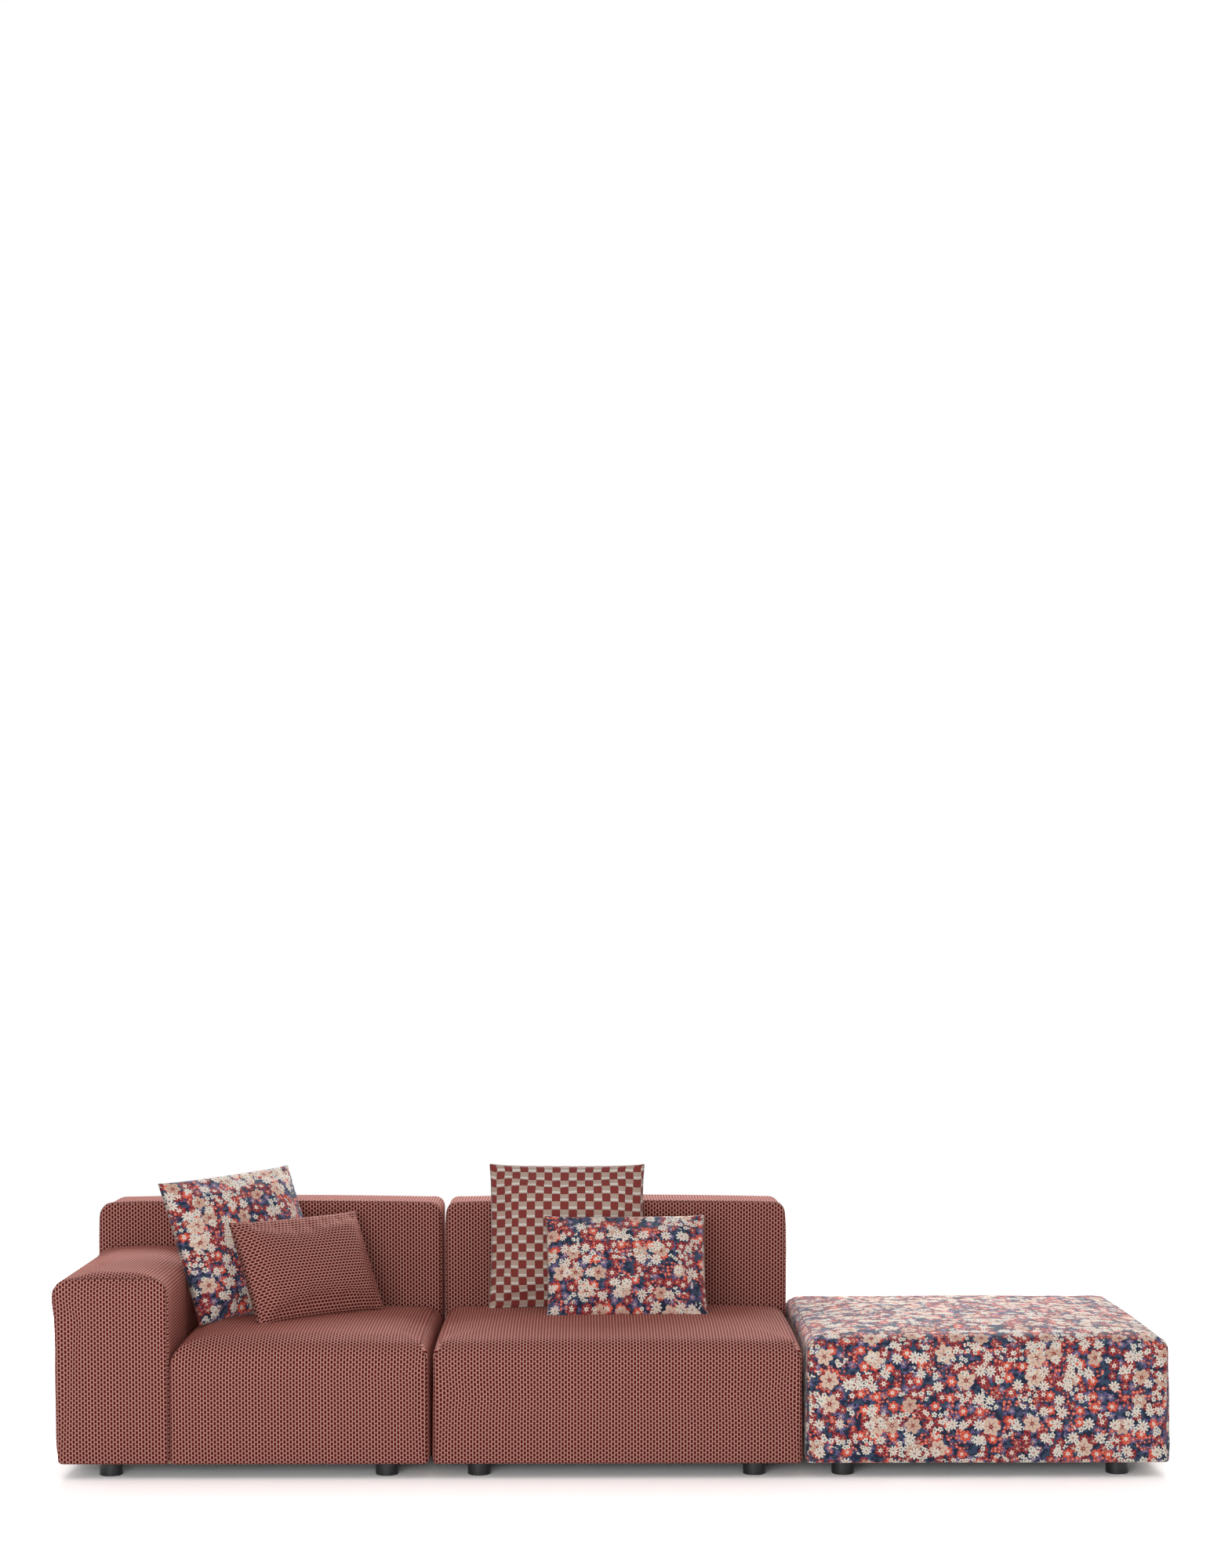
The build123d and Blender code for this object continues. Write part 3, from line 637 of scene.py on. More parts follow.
def floral_cloth(name):
    """The whole print: leaves, berries, small and large flowers, daisies."""
    cloth = Cloth(name, 0.8)
    wobble = cloth.node("ShaderNodeTexNoise", noise_dimensions="2D")
    cloth.feed(wobble, "Vector", cloth.uv)
    wobble.inputs["Scale"].default_value = WOBBLE_CELLS
    drawn = cloth.node("ShaderNodeVectorMath", operation="MULTIPLY_ADD")
    cloth.feed(drawn, 0, wobble.outputs["Color"])
    drawn.inputs[1].default_value = (LINE_WOBBLE, LINE_WOBBLE, 0.0)
    cloth.feed(drawn, 2, cloth.uv)
    place = drawn.outputs[0]
    fibre = cloth.noise(cloth.uv, PRINT_FIBRES, 2.0)
    seen = cloth.mix(cloth.step(cloth.noise(cloth.uv, 70.0, 1.0), 0.5, 0.56), NAVY, SLATE)
    layers = (
        (0.018, (0.3, 0.1), 3, 0.47, 0.70, 0.0, 0.60, (PERIWINKLE, SLATE, NAVY), 0),
        (0.029, (0.2, 0.9), 5, 0.46, 0.40, 0.24, 0.78, (PERIWINKLE, BRICK, SAND), 0),
        (0.0115, (0.7, 0.2), 4, 0.44, 0.10, 0.22, 0.96, (BRICK, ORANGE, CREAM), 0.51),
        (0.039, (0.5, 0.6), 6, 0.44, 0.36, 0.34, 0.60, (ORANGE, BRICK, CREAM), 0),
        (0.062, (0.9, 0.4), 6, 0.42, 0.34, 0.22, 0.38, (PEACH, SAND, BRICK), 0),
        (0.036, (0.4, 0.8), 9, 0.47, 0.62, 0.18, 0.38, (CREAM, CREAM, BRICK), 0),
        (0.0185, (0.8, 0.5), 5, 0.45, 0.46, 0.30, 0.90, (CREAM, CREAM, NAVY), 0.545),
    )
    for layer in layers:
        seen = blooms(cloth, place, seen, *layer)
    shade = cloth.sum("MULTIPLY_ADD", fibre, 0.5, 0.82)
    print(name, "has", len(layers), "layers of blooms")
    worn = cloth.node("ShaderNodeVectorMath", operation="SCALE")
    cloth.feed(worn, 0, seen)
    cloth.feed(worn, "Scale", shade)
    return cloth.finish(worn.outputs[0], fibre, PRINT_DEPTH)


floral = floral_cloth("floral_print")

# %% [markdown]
# ## The check cloth
# The large square cushion has a plain two-tone check: brick blocks and sand blocks in turn both
# ways, the brick ones with eased corners and the sand ones with a paler band along their foot.
# Blender's Checker texture could give the blocks, but not their eased corners or the band. So
# the block's number and the place inside it come from the whole and the broken part of the
# cloth's UV over the block's size, and |x|^n + |y|^n < 1 eases the corners.

# %% Check cloth
BLOCK = 0.0242
EASED_POWER = 7.0
PALE_BAND = (-0.90, -0.62, -0.28, -0.20)
CHECK_FIBRES = 1000.0
CHECK_DEPTH = 0.0007


def check_cloth(name):
    """Brick and sand blocks in turn."""
    cloth = Cloth(name, 0.8)
    across, along = cloth.split(cloth.uv)
    column = cloth.sum("DIVIDE", across, BLOCK)
    row = cloth.sum("DIVIDE", along, BLOCK)
    number = cloth.sum("ADD", cloth.sum("FLOOR", column), cloth.sum("FLOOR", row))
    odd = cloth.sum("FLOORED_MODULO", number, 2.0)
    x = cloth.sum("MULTIPLY_ADD", cloth.sum("FRACT", column), 2.0, -1.0)
    y = cloth.sum("MULTIPLY_ADD", cloth.sum("FRACT", row), 2.0, -1.0)
    eased = cloth.sum(
        "ADD", cloth.sum("POWER", cloth.sum("ABSOLUTE", x), EASED_POWER),
        cloth.sum("POWER", cloth.sum("ABSOLUTE", y), EASED_POWER),
    )
    fibre = cloth.noise(cloth.uv, CHECK_FIBRES, 2.0)
    sand = cloth.mix(fibre, colour(168, 142, 128), colour(206, 184, 168))
    band = cloth.sum(
        "MULTIPLY", cloth.step(y, PALE_BAND[0], PALE_BAND[1]),
        cloth.step(y, PALE_BAND[3], PALE_BAND[2]),
    )
    sand = cloth.mix(cloth.sum("MULTIPLY", band, 0.85), sand, colour(230, 224, 216))
    brick = cloth.mix(fibre, colour(116, 44, 42), colour(154, 68, 62))
    edge = cloth.sum("MULTIPLY", cloth.step(eased, 0.5, 0.9), 0.45)
    brick = cloth.mix(edge, brick, colour(84, 26, 26))
    brick = cloth.mix(cloth.step(eased, 1.05, 1.25), brick, sand)
    worn = cloth.sum("MULTIPLY", cloth.step(eased, 0.8, 1.3), 0.35)
    sand = cloth.mix(worn, sand, colour(120, 84, 74))
    return cloth.finish(cloth.mix(odd, brick, sand), fibre, CHECK_DEPTH)


checked = check_cloth("check_weave")
print("check blocks per metre:", round(1 / BLOCK))

# %% [markdown]
# ## The upholstered blocks
# Each block takes its box from the CAD cover that it stands for, so the two always agree. The
# underside is left open where the dust cloth closes it, as a real cover ends in a lip there.

# %% One block
SEAM_DEPTH = 0.0022
SEAM_WIDTH = 0.005
BLOCK_PRESSURE = 2.5
BLOCK_STIFFNESS = 12
CAP_RISE = 0.12
HELD_UNDER = 0.0006
print("seam groove:", SEAM_DEPTH * 1000, "mm deep")


def upholstered(name, cover, inner, body, material, distance, across, ends, dust):
    """A block over a CAD cover's box, in place of the cover and the inner pieces.

    distance(p, half) is zero on its surface, and its cloth is wrapped round the axis across. ends
    gives, for each of its six sides, how far the cloth may move and how far beyond the box it
    starts, in metres. The underside is open where the piece named dust closes it.
    """
    low, high = (np.array(corner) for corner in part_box(cover))
    caps, beyond = np.array(ends).T
    low, high = low - beyond[0::2], high + beyond[1::2]
    middle = (low + high) / 2
    half = (high - low) / 2
    places = [stations(-half[a], half[a], EDGE_STEPS, PITCH) for a in range(3)]
    counts = [len(place) for place in places]
    triples, quads, sides = box_skin(counts)
    p = np.stack([places[a][triples[:, a]] for a in range(3)], axis=1)
    gap = seam_gap(p, half, across)
    room = np.stack([half + p, half - p], axis=2).reshape(-1, 6)
    cap = (caps + CAP_RISE * room).min(axis=1)
    skin = pushed_out(p, half, lambda q: distance(q, half))
    uv = cloth_places(triples, counts, skin, quads, sides, across)
    held = cap < HELD_UNDER
    skin = swelled(name, skin + middle, quads, held, cap, BLOCK_PRESSURE, BLOCK_STIFFNESS)
    groove = SEAM_DEPTH * np.exp(-((gap / SEAM_WIDTH) ** 2))
    skin -= corner_normals(skin, quads) * groove[:, None]
    dust_low, dust_high = (np.array(corner)[:2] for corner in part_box(dust))
    under = skin[quads].mean(axis=1)[:, :2]
    open_part = np.all((under > dust_low) & (under < dust_high), axis=1) & (sides == 4)
    kept = ~open_part
    replaced = (cover, *inner)
    return sewn_piece(
        name, skin, quads[kept], uv[kept], gap, material, body, replaced
    )

# %% Radii, crowns and how far each side may move
SIDE_VIEW_RADII = (0.010, 0.010, 0.041, 0.066)
SEAT_RADII = ((0.010, 0.010, 0.038, 0.038), SIDE_VIEW_RADII, (0.015, 0.015, 0.015, 0.015))
LEFT_SEAT_RADII = ((0.010, 0.010, 0.038, 0.072), SIDE_VIEW_RADII, (0.007, 0.015, 0.015, 0.007))
OTTOMAN_RADII = (
    (0.010, 0.010, 0.036, 0.038), (0.010, 0.010, 0.035, 0.052), (0.015, 0.015, 0.048, 0.015)
)
SEAT_CROWN = 0.008
BACK_RADII = ((0.012, 0.012, 0.034, 0.034), 0.012)
FAR_BACK_RADII = ((0.012, 0.012, 0.034, 0.043), 0.012)
ARM_RADII = ((0.012, 0.012, 0.048, 0.040), 0.012)
BACK_CROWN = 0.006
ARM_CROWN = 0.012
ARM_TUCK = 0.014
FREE = (0.006, -0.0025)
FLUSH = (0.0, -0.0003)
NEXT_TO_GAP = (0.002, -0.0003)
SEAT_TOP = (0.006, 0.001)
PLUMP_TOP = (0.006, 0.008)
BACK_TOP = (0.006, 0.003)
PLUMP_SIDE = (0.006, 0.003)
OTTOMAN_SIDE = (0.006, 0.007)

print("front roll of a seat:", SIDE_VIEW_RADII[3] * 1000, "mm")


# %% Seats, backs and the arm
def seat(name, unit, body, material, radii, ends):
    """A seat block: its cloth is wrapped round the x axis."""
    return upholstered(
        name, f"{unit}_seat_cover", (f"{unit}_seat_foam", f"{unit}_seat_border"), body,
        material, lambda q, half: seat_distance(q, half, SEAT_CROWN, radii), 0, ends,
        f"{unit}_dust_cloth",
    )


def panel(name, unit, body, crown, radii, ends, tuck=0.0):
    """A back or an arm block: its boxing is wrapped round the y axis."""
    return upholstered(
        name, f"{name}_cover", (f"{name}_foam",), body, woven,
        lambda q, half: panel_distance(q, half, crown, radii, tuck), 1, ends,
        f"{unit}_dust_cloth",
    )


seat(
    "left_seat", "left", "left_unit", woven, LEFT_SEAT_RADII,
    (FLUSH, NEXT_TO_GAP, FREE, FLUSH, FLUSH, SEAT_TOP),
)
seat(
    "centre_seat", "centre", "centre_unit", woven, SEAT_RADII,
    (NEXT_TO_GAP, NEXT_TO_GAP, FREE, FLUSH, FLUSH, SEAT_TOP),
)
seat(
    "ottoman_seat", "ottoman", "ottoman", floral, OTTOMAN_RADII,
    (NEXT_TO_GAP, OTTOMAN_SIDE, FREE, FREE, FLUSH, PLUMP_TOP),
)
panel(
    "left_back", "left", "left_unit", BACK_CROWN, FAR_BACK_RADII,
    (FREE, NEXT_TO_GAP, FLUSH, FREE, FLUSH, BACK_TOP),
)
panel(
    "centre_back", "centre", "centre_unit", BACK_CROWN, BACK_RADII,
    (NEXT_TO_GAP, PLUMP_SIDE, FLUSH, FREE, FLUSH, BACK_TOP),
)
panel(
    "left_arm", "left", "left_unit", ARM_CROWN, ARM_RADII,
    (PLUMP_SIDE, FLUSH, FREE, FLUSH, FLUSH, PLUMP_TOP), ARM_TUCK,
)

# %% [markdown]
# ## Loose cushions
# A cushion is two cloths sewn edge to edge and stuffed. Its sides draw in between the corners,
# because the stuffing takes up cloth, which leaves a small ear at each corner. Its thickness
# falls to nothing at the seam: t = T / 2 ((1 - |a|^p)(1 - |b|^p))^q over the flat cloth's a and b
# from -1 to 1, and short puckers run in from the seam. The CAD cushion is symmetric, so the
# middle of its box is the cushion's own middle.

# %% Turning a cushion and keeping it clear
TOUCH_GAP = 0.0008


def turned_by(turn, lean, roll):
    """Rotation Rz(turn) Rx(-lean) Ry(-roll), angles in degrees."""
    a, b, c = np.radians([turn, -lean, -roll])
    about_z = np.array([[np.cos(a), -np.sin(a), 0], [np.sin(a), np.cos(a), 0], [0, 0, 1]])
    about_x = np.array([[1, 0, 0], [0, np.cos(b), -np.sin(b)], [0, np.sin(b), np.cos(b)]])
    about_y = np.array([[np.cos(c), 0, np.sin(c)], [0, 1, 0], [-np.sin(c), 0, np.cos(c)]])
    return about_z @ about_x @ about_y


def inside_depth(p, node, distance):
    """How far each corner is inside a block's surface, or nearer to it than the touching gap."""
    low, high = (np.array(corner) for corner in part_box(node))
    return np.minimum(distance(p - (low + high) / 2, (high - low) / 2) - TOUCH_GAP, 0)


def kept_off(p, seat_node, radii, beside_arm):
    """Corners lifted out of the seat under them and pressed back from the arm and the back."""
    lift = inside_depth(p, seat_node, lambda q, half: seat_distance(q, half, SEAT_CROWN, radii))
    p[:, 2] -= lift
    if beside_arm:
        p[:, 0] -= inside_depth(
            p, "left_arm_cover", lambda q, half: panel_distance(q, half, ARM_CROWN, ARM_RADII)
        )
    p[:, 1] = np.minimum(p[:, 1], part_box("centre_back_cover")[0].y - TOUCH_GAP)
    return p


print("straight up, leaning 30 degrees:", (turned_by(0, 30, 0) @ [0, 0, 1]).round(3))

# %% Edges of a cushion's cloth
DRAW_IN = 0.013
EAR_DRAW = 0.016
EAR_POWER = 8
CORNER_CUT = 0.008
CORNER_POWER = 22
EDGE_CROWDING = 0.6
PUCKER_WAVES = (0.0062, 0.0193)


def puckers(along, seed):
    """Uneven waves along a seam, from -1 to 1: two sines whose lengths don't agree."""
    short, long = PUCKER_WAVES
    return np.sin(along / short + seed) * np.sin(along / long + 2.3 * seed)


def crowded(steps, count):
    """Places from -1 to 1, closer together at both ends: (1 - w) t + w sin(pi t / 2)."""
    t = 2 * steps / (count - 1) - 1
    return (1 - EDGE_CROWDING) * t + EDGE_CROWDING * np.sin(np.pi / 2 * t)


def cloth_run(grid, axis):
    """Length of cloth along one axis of a grid of corners, from its middle line."""
    steps = np.linalg.norm(np.diff(grid, axis=axis), axis=-1)
    length = np.concatenate([np.zeros_like(steps.take([0], axis)), steps.cumsum(axis)], axis)
    return (length - length.take([length.shape[axis] // 2], axis)).reshape(-1)


def drawn_in(place, side):
    """A place along one axis after the draw: full near the corners of the side and less between,
    with the corner itself turned a little blunt by c |place side|^n."""
    share = DRAW_IN * (1 - side**2) + EAR_DRAW * (1 - side**EAR_POWER)
    blunt = CORNER_CUT * np.abs(place * side) ** CORNER_POWER
    return place * (1 - share * place**2 - blunt)


print("draw of a side at its middle:", round(DRAW_IN + EAR_DRAW, 3), "of its half length")

# %% One cushion
THICK_POWER = 2.6
THICK_SHARE = 0.47
PUCKER_DEPTH = 0.0046
PUCKER_REACH = 0.034
PUCKER_EASE = 0.012
CUSHION_PITCH = 0.009
CUSHION_RIM = 0.005
CUSHION_START = 0.86
CUSHION_CAP = 0.013
SEAM_CAP = 0.25
CAP_REACH = 0.05
CUSHION_PRESSURE = 4.0
CUSHION_STIFFNESS = 15
SETTLE = 0.005


def cushion(name, size, angles, print_start, seat_node, radii, material):
    """A stuffed cushion in its CAD node's place: size is its breadth, height and thickness in
    metres, angles its turn, lean and roll, and print_start where its middle is on the print."""
    breadth, height, thick = size
    counts = [int(breadth / CUSHION_PITCH), 2, int(height / CUSHION_PITCH)]
    triples, quads, _ = box_skin(counts)
    a = crowded(triples[:, 0], counts[0])
    b = crowded(triples[:, 2], counts[2])
    face = 2 * triples[:, 1] - 1
    full = ((1 - np.abs(a) ** THICK_POWER) * (1 - np.abs(b) ** THICK_POWER)) ** THICK_SHARE
    share = CUSHION_START
    gaps = np.stack([breadth / 2 * (1 - np.abs(a)), height / 2 * (1 - np.abs(b))])
    gap = gaps.min(axis=0)
    runs = np.stack([height / 2 * b, breadth / 2 * a])
    folds = puckers(runs, print_start[0] + face) * np.exp(-gaps / PUCKER_REACH)
    fold = PUCKER_DEPTH * folds.sum(axis=0) * np.clip(gap / PUCKER_EASE, 0, 1)
    p = np.stack([
        breadth / 2 * drawn_in(a, b),
        face * (thick / 2 * share * full + CUSHION_RIM / 2 + fold),
        height / 2 * drawn_in(b, a),
    ], axis=1)
    grid = p.reshape(counts[0], counts[1], counts[2], 3)
    flat = np.stack([cloth_run(grid, 0), cloth_run(grid, 2)], axis=1) + print_start
    cap = CUSHION_CAP * (SEAM_CAP + (1 - SEAM_CAP) * np.clip(gap / CAP_REACH, 0, 1))
    free = np.zeros(len(p), bool)
    p = swelled(name, p, quads, free, cap, CUSHION_PRESSURE, CUSHION_STIFFNESS)
    low, high = (np.array(corner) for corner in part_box(name))
    p = p @ turned_by(*angles).T + (low + high) / 2 - [0, 0, SETTLE]
    p = kept_off(p, seat_node, radii, name == "large_floral_cushion")
    replaced = (name, f"{name}_filling")
    return sewn_piece(
        name + "_sewn", p, quads, flat[quads], gap, material, name, replaced,
    )


print("cushion cloth pitch:", CUSHION_PITCH * 1000, "mm")

# %% The four cushions
SMALL_WOVEN_SIZE = (0.456, 0.310, 0.108)
cushion(
    "large_floral_cushion", (0.452, 0.428, 0.118), (40.8, 23.3, 3.6), (0.31, 0.22),
    "left_seat_cover", LEFT_SEAT_RADII, floral,
)
small_woven_cushion = cushion(
    "small_woven_cushion", SMALL_WOVEN_SIZE, (43.8, 25.3, 0.2), (0.0, 0.0),
    "left_seat_cover", LEFT_SEAT_RADII, woven_turned,
)
cushion(
    "large_check_cushion", (0.458, 0.430, 0.122), (-0.9, 11.1, 0.0), (0.0, 0.0),
    "centre_seat_cover", SEAT_RADII, checked,
)
cushion(
    "small_floral_cushion", (0.466, 0.320, 0.108), (2.6, 28.0, 0.0), (1.12, 0.57),
    "centre_seat_cover", SEAT_RADII, floral,
)

# %% [markdown]
# ## The zip
# The small woven cushion has a zip in its lower edge, which shows as a pale ridged line over the
# seat. A line of paint would stay flat, so it is a rod carried along the seam, thin at both ends:
# a ring of corners round each place of the path, at p + r (cos w, sin w) across the path, and one
# face that closes each end.

# %% Rod along a path
ZIP_HALF_WIDTH = 0.0031
ZIP_SIDES = 10
ROD_END = 0.02


def rod(path, radius, around):
    """Corners, quads and UVs of a rod whose radius is r (1 - |t|^6) from end to end, its ends left
    open.
    """
    t = np.linspace(-1, 1, len(path))
    forward = np.gradient(path, axis=0)
    forward /= np.linalg.norm(forward, axis=1)[:, None]
    side = np.cross(forward, [0.0, 0.0, 1.0])
    side /= np.linalg.norm(side, axis=1)[:, None]
    up = np.cross(side, forward)
    w = np.linspace(0, 2 * np.pi, around, endpoint=False)
    size = radius * np.maximum(1 - np.abs(t) ** 6, ROD_END)
    ring = np.cos(w)[None, :, None] * side[:, None] + np.sin(w)[None, :, None] * up[:, None]
    p = (path[:, None] + size[:, None, None] * ring).reshape(-1, 3)
    i, j = np.meshgrid(np.arange(len(path) - 1), np.arange(around), indexing="ij")
    k = (j + 1) % around
    corners = [i * around + j, i * around + k, (i + 1) * around + k, (i + 1) * around + j]
    quads = np.stack(corners, axis=-1).reshape(-1, 4)
    run = np.concatenate([[0], np.cumsum(np.linalg.norm(np.diff(path, axis=0), axis=1))])
    u = np.stack([run[i], run[i], run[i + 1], run[i + 1]], axis=-1).reshape(-1, 4)
    v = np.stack([j, j + 1, j + 1, j], axis=-1).reshape(-1, 4) / around * 0.01
    return p, quads, np.stack([u, v], axis=-1)


print("zip:", 2 * ZIP_HALF_WIDTH * 1000, "mm thick")

# %% Path and cloth of the zip
ZIP_REACH = 0.80
ZIP_TOOTH = 0.0030
ZIP_FIBRES = 1300.0
ZIP_DEPTH = 0.0008
REAR_SHARE = 0.2


def lower_seam(piece, size):
    """The rim along a cushion's lower edge, nearer its front cloth, from the mesh's corners."""
    triples, _, _ = box_skin([int(size[0] / CUSHION_PITCH), 2, int(size[1] / CUSHION_PITCH)])
    flat = np.empty(len(triples) * 3, np.float32)
    piece.data.vertices.foreach_get("co", flat)
    p = flat.reshape(-1, 3)
    foot = triples[:, 2] == 0
    front, rear = (p[foot & (triples[:, 1] == side)] for side in (0, 1))
    left_out = int(len(front) * (1 - ZIP_REACH) / 2)
    return ((1 - REAR_SHARE) * front + REAR_SHARE * rear)[left_out:-left_out]


def zip_cloth(name):
    """Pale teeth across a tape: a soft wave along the length, |sin(pi u / tooth)|."""
    cloth = Cloth(name, 0.6)
    along, _ = cloth.split(cloth.uv)
    wave = cloth.sum("ABSOLUTE", cloth.sum("SINE", cloth.sum("MULTIPLY", along, np.pi / ZIP_TOOTH)))
    fibre = cloth.noise(cloth.uv, ZIP_FIBRES, 2.0)
    tooth = cloth.mix(fibre, colour(172, 152, 138), colour(224, 208, 194))
    tape = cloth.mix(cloth.step(wave, 0.25, 0.6), colour(84, 58, 54), tooth)
    height = cloth.sum("ADD", wave, cloth.sum("MULTIPLY", fibre, 0.3))
    return cloth.surface(tape, height, ZIP_DEPTH)


zip_material = zip_cloth("zip_tape")
print("teeth per metre:", round(1 / ZIP_TOOTH))

# %% The zip of the small woven cushion
zip_path = lower_seam(small_woven_cushion, SMALL_WOVEN_SIZE) - [0, 0, ZIP_HALF_WIDTH]
zip_path = kept_off(zip_path, "left_seat_cover", LEFT_SEAT_RADII, False) + [0, 0, ZIP_HALF_WIDTH]
zip_p, zip_quads, zip_uv = rod(zip_path, ZIP_HALF_WIDTH, ZIP_SIDES)
zip_mesh = bpy.data.meshes.new("small_woven_zip")
caps = [list(range(ZIP_SIDES))[::-1], list(range(len(zip_p) - ZIP_SIDES, len(zip_p)))]
zip_mesh.from_pydata(zip_p.tolist(), [], zip_quads.tolist() + caps)
zip_layer = zip_mesh.uv_layers.new(name="cloth")
cap_uv = np.zeros((2 * ZIP_SIDES, 2))
zip_layer.data.foreach_set("uv", np.concatenate([zip_uv.reshape(-1, 2), cap_uv]).reshape(-1))
zip_mesh.polygons.foreach_set("use_smooth", np.ones(len(zip_quads) + 2, bool))
zip_mesh.materials.append(zip_material)
cushion_zip = placed("small_woven_zip", zip_mesh)
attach(cushion_zip, "small_woven_cushion")
print("zip length:", round(float(zip_uv.max()), 3), "m")

# %% [markdown]
# ## Rigid pieces
# Feet, timber, bolts and links are the CAD solids themselves. They only need their finishes: a
# matt black moulding for the feet, planed pine, plywood, zinc-plated steel and black cloth. Each
# is a noise between two tones of the finish. It is drawn out along the level directions for
# timber, whose fibres run along the rails, and it also roughens and raises the surface a little.
# One flat colour would be simpler, but no real moulding or board is that even.

# %% Finishes with a grain
GRAIN_DETAIL = 4.0
GRAIN_BUMP = 0.5
ROUGHNESS_SWING = 0.08


def grained(name, dark, pale, cells, roughness, metallic=0.0, depth=0.0001):
    """A finish between two tones; cells are the noise's cells per metre along x, y and z."""
    material = bpy.data.materials.new(name)
    material.use_nodes = True
    tree = material.node_tree
    shader = tree.nodes["Principled BSDF"]
    shader.inputs["Metallic"].default_value = metallic
    place = tree.nodes.new("ShaderNodeTexCoord")
    scaled = tree.nodes.new("ShaderNodeMapping")
    scaled.inputs["Scale"].default_value = cells
    grain = tree.nodes.new("ShaderNodeTexNoise")
    grain.inputs["Scale"].default_value = 1.0
    grain.inputs["Detail"].default_value = GRAIN_DETAIL
    tone = tree.nodes.new("ShaderNodeMix")
    tone.data_type = "RGBA"
    tone.inputs[6].default_value = (*colour(*dark), 1.0)
    tone.inputs[7].default_value = (*colour(*pale), 1.0)
    matt = tree.nodes.new("ShaderNodeMapRange")
    matt.inputs["To Min"].default_value = roughness - ROUGHNESS_SWING
    matt.inputs["To Max"].default_value = roughness + ROUGHNESS_SWING
    bump = tree.nodes.new("ShaderNodeBump")
    bump.inputs["Strength"].default_value = GRAIN_BUMP
    bump.inputs["Distance"].default_value = depth
    tree.links.new(place.outputs["Object"], scaled.inputs["Vector"])
    tree.links.new(scaled.outputs["Vector"], grain.inputs["Vector"])
    tree.links.new(grain.outputs[0], tone.inputs[0])
    tree.links.new(grain.outputs[0], matt.inputs["Value"])
    tree.links.new(grain.outputs[0], bump.inputs["Height"])
    tree.links.new(tone.outputs[2], shader.inputs["Base Color"])
    tree.links.new(matt.outputs["Result"], shader.inputs["Roughness"])
    tree.links.new(bump.outputs["Normal"], shader.inputs["Normal"])
    return material


print("roughness swings by", ROUGHNESS_SWING, "both ways")

# %% Finishes of the rigid pieces
LEVEL_GRAIN = (9, 9, 260)
finishes = {
    "feet": grained("black_moulding", (16, 16, 17), (32, 32, 34), (800, 800, 800), 0.42),
    "rails": grained("planed_pine", (186, 146, 96), (226, 194, 148), LEVEL_GRAIN, 0.6),
    "corner_blocks": grained("pine_block", (178, 140, 92), (220, 188, 142), LEVEL_GRAIN, 0.65),
    "ribs": grained("plywood", (168, 130, 84), (212, 180, 134), (14, 14, 420), 0.6),
    "boards": grained("thin_plywood", (176, 138, 92), (220, 188, 142), (7, 7, 300), 0.6),
    "webbing": grained("elastic_webbing", (22, 22, 24), (56, 56, 60), (700, 700, 700), 0.8),
    "dust_cloth": grained("dust_cloth", (10, 10, 11), (26, 26, 28), (900, 900, 900), 0.9),
    "bolts": grained("zinc_steel", (168, 170, 174), (206, 206, 204), (350, 350, 350), 0.35, 1.0),
    "link_pockets": grained("black_steel", (24, 24, 26), (46, 46, 48), (300, 300, 300), 0.45, 0.8),
    "link_tongues": grained("black_tongue", (24, 24, 26), (46, 46, 48), (300, 300, 300), 0.45, 0.8),
}
dressed = 0
for node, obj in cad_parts.items():
    for ending, finish in finishes.items():
        if node.endswith(ending):
            obj.data.materials.clear()
            obj.data.materials.append(finish)
            dressed += 1
print("rigid nodes dressed:", dressed)

# %% [markdown]
# ## Floor, light and camera
# The photograph is a cut-out on white with a soft shadow under the feet. The floor's colour is
# raised for the camera alone, so it reaches white in the open and its shadow stays in
# proportion. The world is white to the camera and a plain soft dome to the object.

# %% Floor
FLOOR_HALF = 14.0
FLOOR_COLOUR = 0.8
FLOOR_SEEN = 2.0


def seen_directly(tree):
    """1 for rays from the camera, off a glossy surface or through glass, and 0 for the rest."""
    path = tree.nodes.new("ShaderNodeLightPath")
    shown = path.outputs["Is Camera Ray"]
    for ray in ("Is Glossy Ray", "Is Transmission Ray"):
        larger = tree.nodes.new("ShaderNodeMath")
        larger.operation = "MAXIMUM"
        tree.links.new(shown, larger.inputs[0])
        tree.links.new(path.outputs[ray], larger.inputs[1])
        shown = larger.outputs[0]
    return shown


corners = [(-FLOOR_HALF, -FLOOR_HALF, 0), (FLOOR_HALF, -FLOOR_HALF, 0),
           (FLOOR_HALF, FLOOR_HALF, 0), (-FLOOR_HALF, FLOOR_HALF, 0)]
floor_mesh = bpy.data.meshes.new("floor")
floor_mesh.from_pydata(corners, [], [(0, 1, 2, 3)])
floor = placed("floor", floor_mesh)
floor_material = bpy.data.materials.new("white_sheet")
floor_material.use_nodes = True
tree = floor_material.node_tree
tree.nodes.remove(tree.nodes["Principled BSDF"])
sheet = tree.nodes.new("ShaderNodeBsdfDiffuse")
tone = tree.nodes.new("ShaderNodeMapRange")
tree.links.new(seen_directly(tree), tone.inputs["Value"])
tone.inputs["To Min"].default_value = FLOOR_COLOUR
tone.inputs["To Max"].default_value = FLOOR_SEEN
tree.links.new(tone.outputs["Result"], sheet.inputs["Color"])
tree.links.new(sheet.outputs[0], tree.nodes["Material Output"].inputs["Surface"])
floor_mesh.materials.append(floor_material)
floor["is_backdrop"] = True
print("floor side:", 2 * FLOOR_HALF, "m")

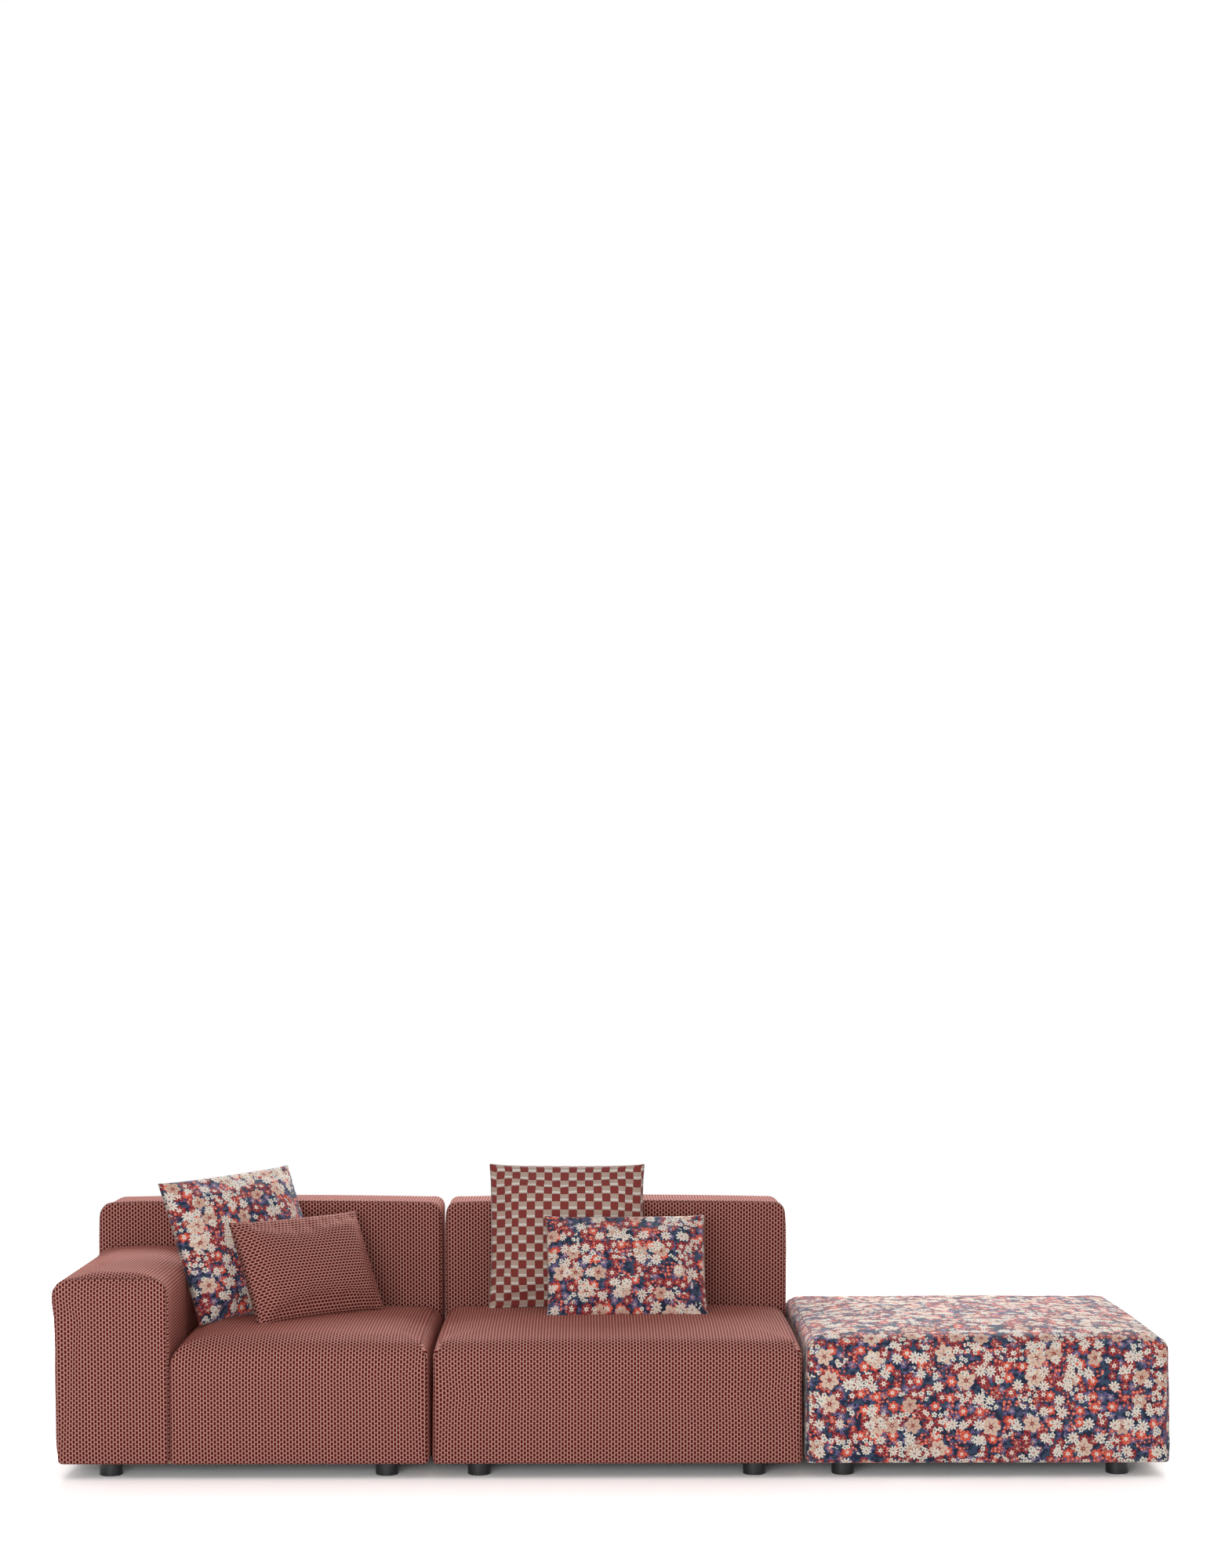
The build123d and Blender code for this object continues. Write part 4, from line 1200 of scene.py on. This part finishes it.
# %% World
DOME = 0.50
world = bpy.data.worlds.new("studio")
bpy.context.scene.world = world
world.use_nodes = True
tree = world.node_tree
dome = tree.nodes["Background"]
dome.inputs["Strength"].default_value = DOME
white = tree.nodes.new("ShaderNodeBackground")
chosen = tree.nodes.new("ShaderNodeMixShader")
dome.inputs["Color"].default_value = (1, 1, 1, 1)
white.inputs["Color"].default_value = (1, 1, 1, 1)
tree.links.new(seen_directly(tree), chosen.inputs[0])
tree.links.new(dome.outputs[0], chosen.inputs[1])
tree.links.new(white.outputs[0], chosen.inputs[2])
tree.links.new(chosen.outputs[0], tree.nodes["World Output"].inputs["Surface"])
print("dome strength:", DOME)


# %% Lamps
def area_lamp(name, place, aim, width, height, power):
    """A soft box lamp at a place, facing a point."""
    lamp = bpy.data.lights.new(name, "AREA")
    lamp.shape = "RECTANGLE"
    lamp.size = width
    lamp.size_y = height
    lamp.energy = power
    obj = placed(name, lamp)
    obj.location = place
    obj.rotation_euler = (Vector(aim) - Vector(place)).to_track_quat("-Z", "Y").to_euler()
    obj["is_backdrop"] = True
    return obj


top_lamp = area_lamp("top_box", (0.0, 3.1, 2.5), (0.0, 0.0, 0.5), 5.0, 1.2, 190)
front_lamp = area_lamp("front_box", (-1.2, -5.6, 1.15), (0.0, 0.0, 0.35), 3.2, 1.5, 105)
print("lamps:", top_lamp.data.energy, "W and", front_lamp.data.energy, "W")

# %% [markdown]
# ## Camera
# The photograph was taken from over 7 m away and cropped low, so the sofa fills the foot of a tall
# frame. Tilting the camera up would make the uprights lean, so the lens is shifted instead, as an
# architect's camera does.

# %% Camera
CAMERA_PLACE = (-0.0632, -7.5637, 1.4631)
CAMERA_TURN = 0.01064
CAMERA_DOWN = 0.06226
FOCAL_PIXELS = 3428.5
FRAME_HEIGHT = 2000
PRINCIPAL_ROW = 1400
camera_data = bpy.data.cameras.new("camera")
camera_data.sensor_width = 36.0
camera_data.lens = FOCAL_PIXELS / FRAME_HEIGHT * camera_data.sensor_width
camera_data.shift_y = (PRINCIPAL_ROW - FRAME_HEIGHT / 2) / FRAME_HEIGHT
camera = placed("camera", camera_data)
camera.location = CAMERA_PLACE
camera.rotation_euler = (np.pi / 2 - CAMERA_DOWN, 0.0, -CAMERA_TURN)
bpy.context.scene.camera = camera
bpy.context.scene.view_settings.view_transform = "Standard"
print("lens:", round(camera_data.lens, 1), "mm")

# %% [markdown]
# ## The end
# How far the cloth moves the corners of the whole past the CAD solids is printed. The
# cloth may stand a little proud of the CAD solids and no more.

# %% Sizes before and after, and the end
size_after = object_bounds()
sizes = {"before": [list(corner) for corner in size_before], "after": [list(c) for c in size_after]}
growth = np.array(sizes["after"]) - np.array(sizes["before"])
print("the cloth moves the corners of the whole by", (growth * 1000).round(1).tolist(), "mm")
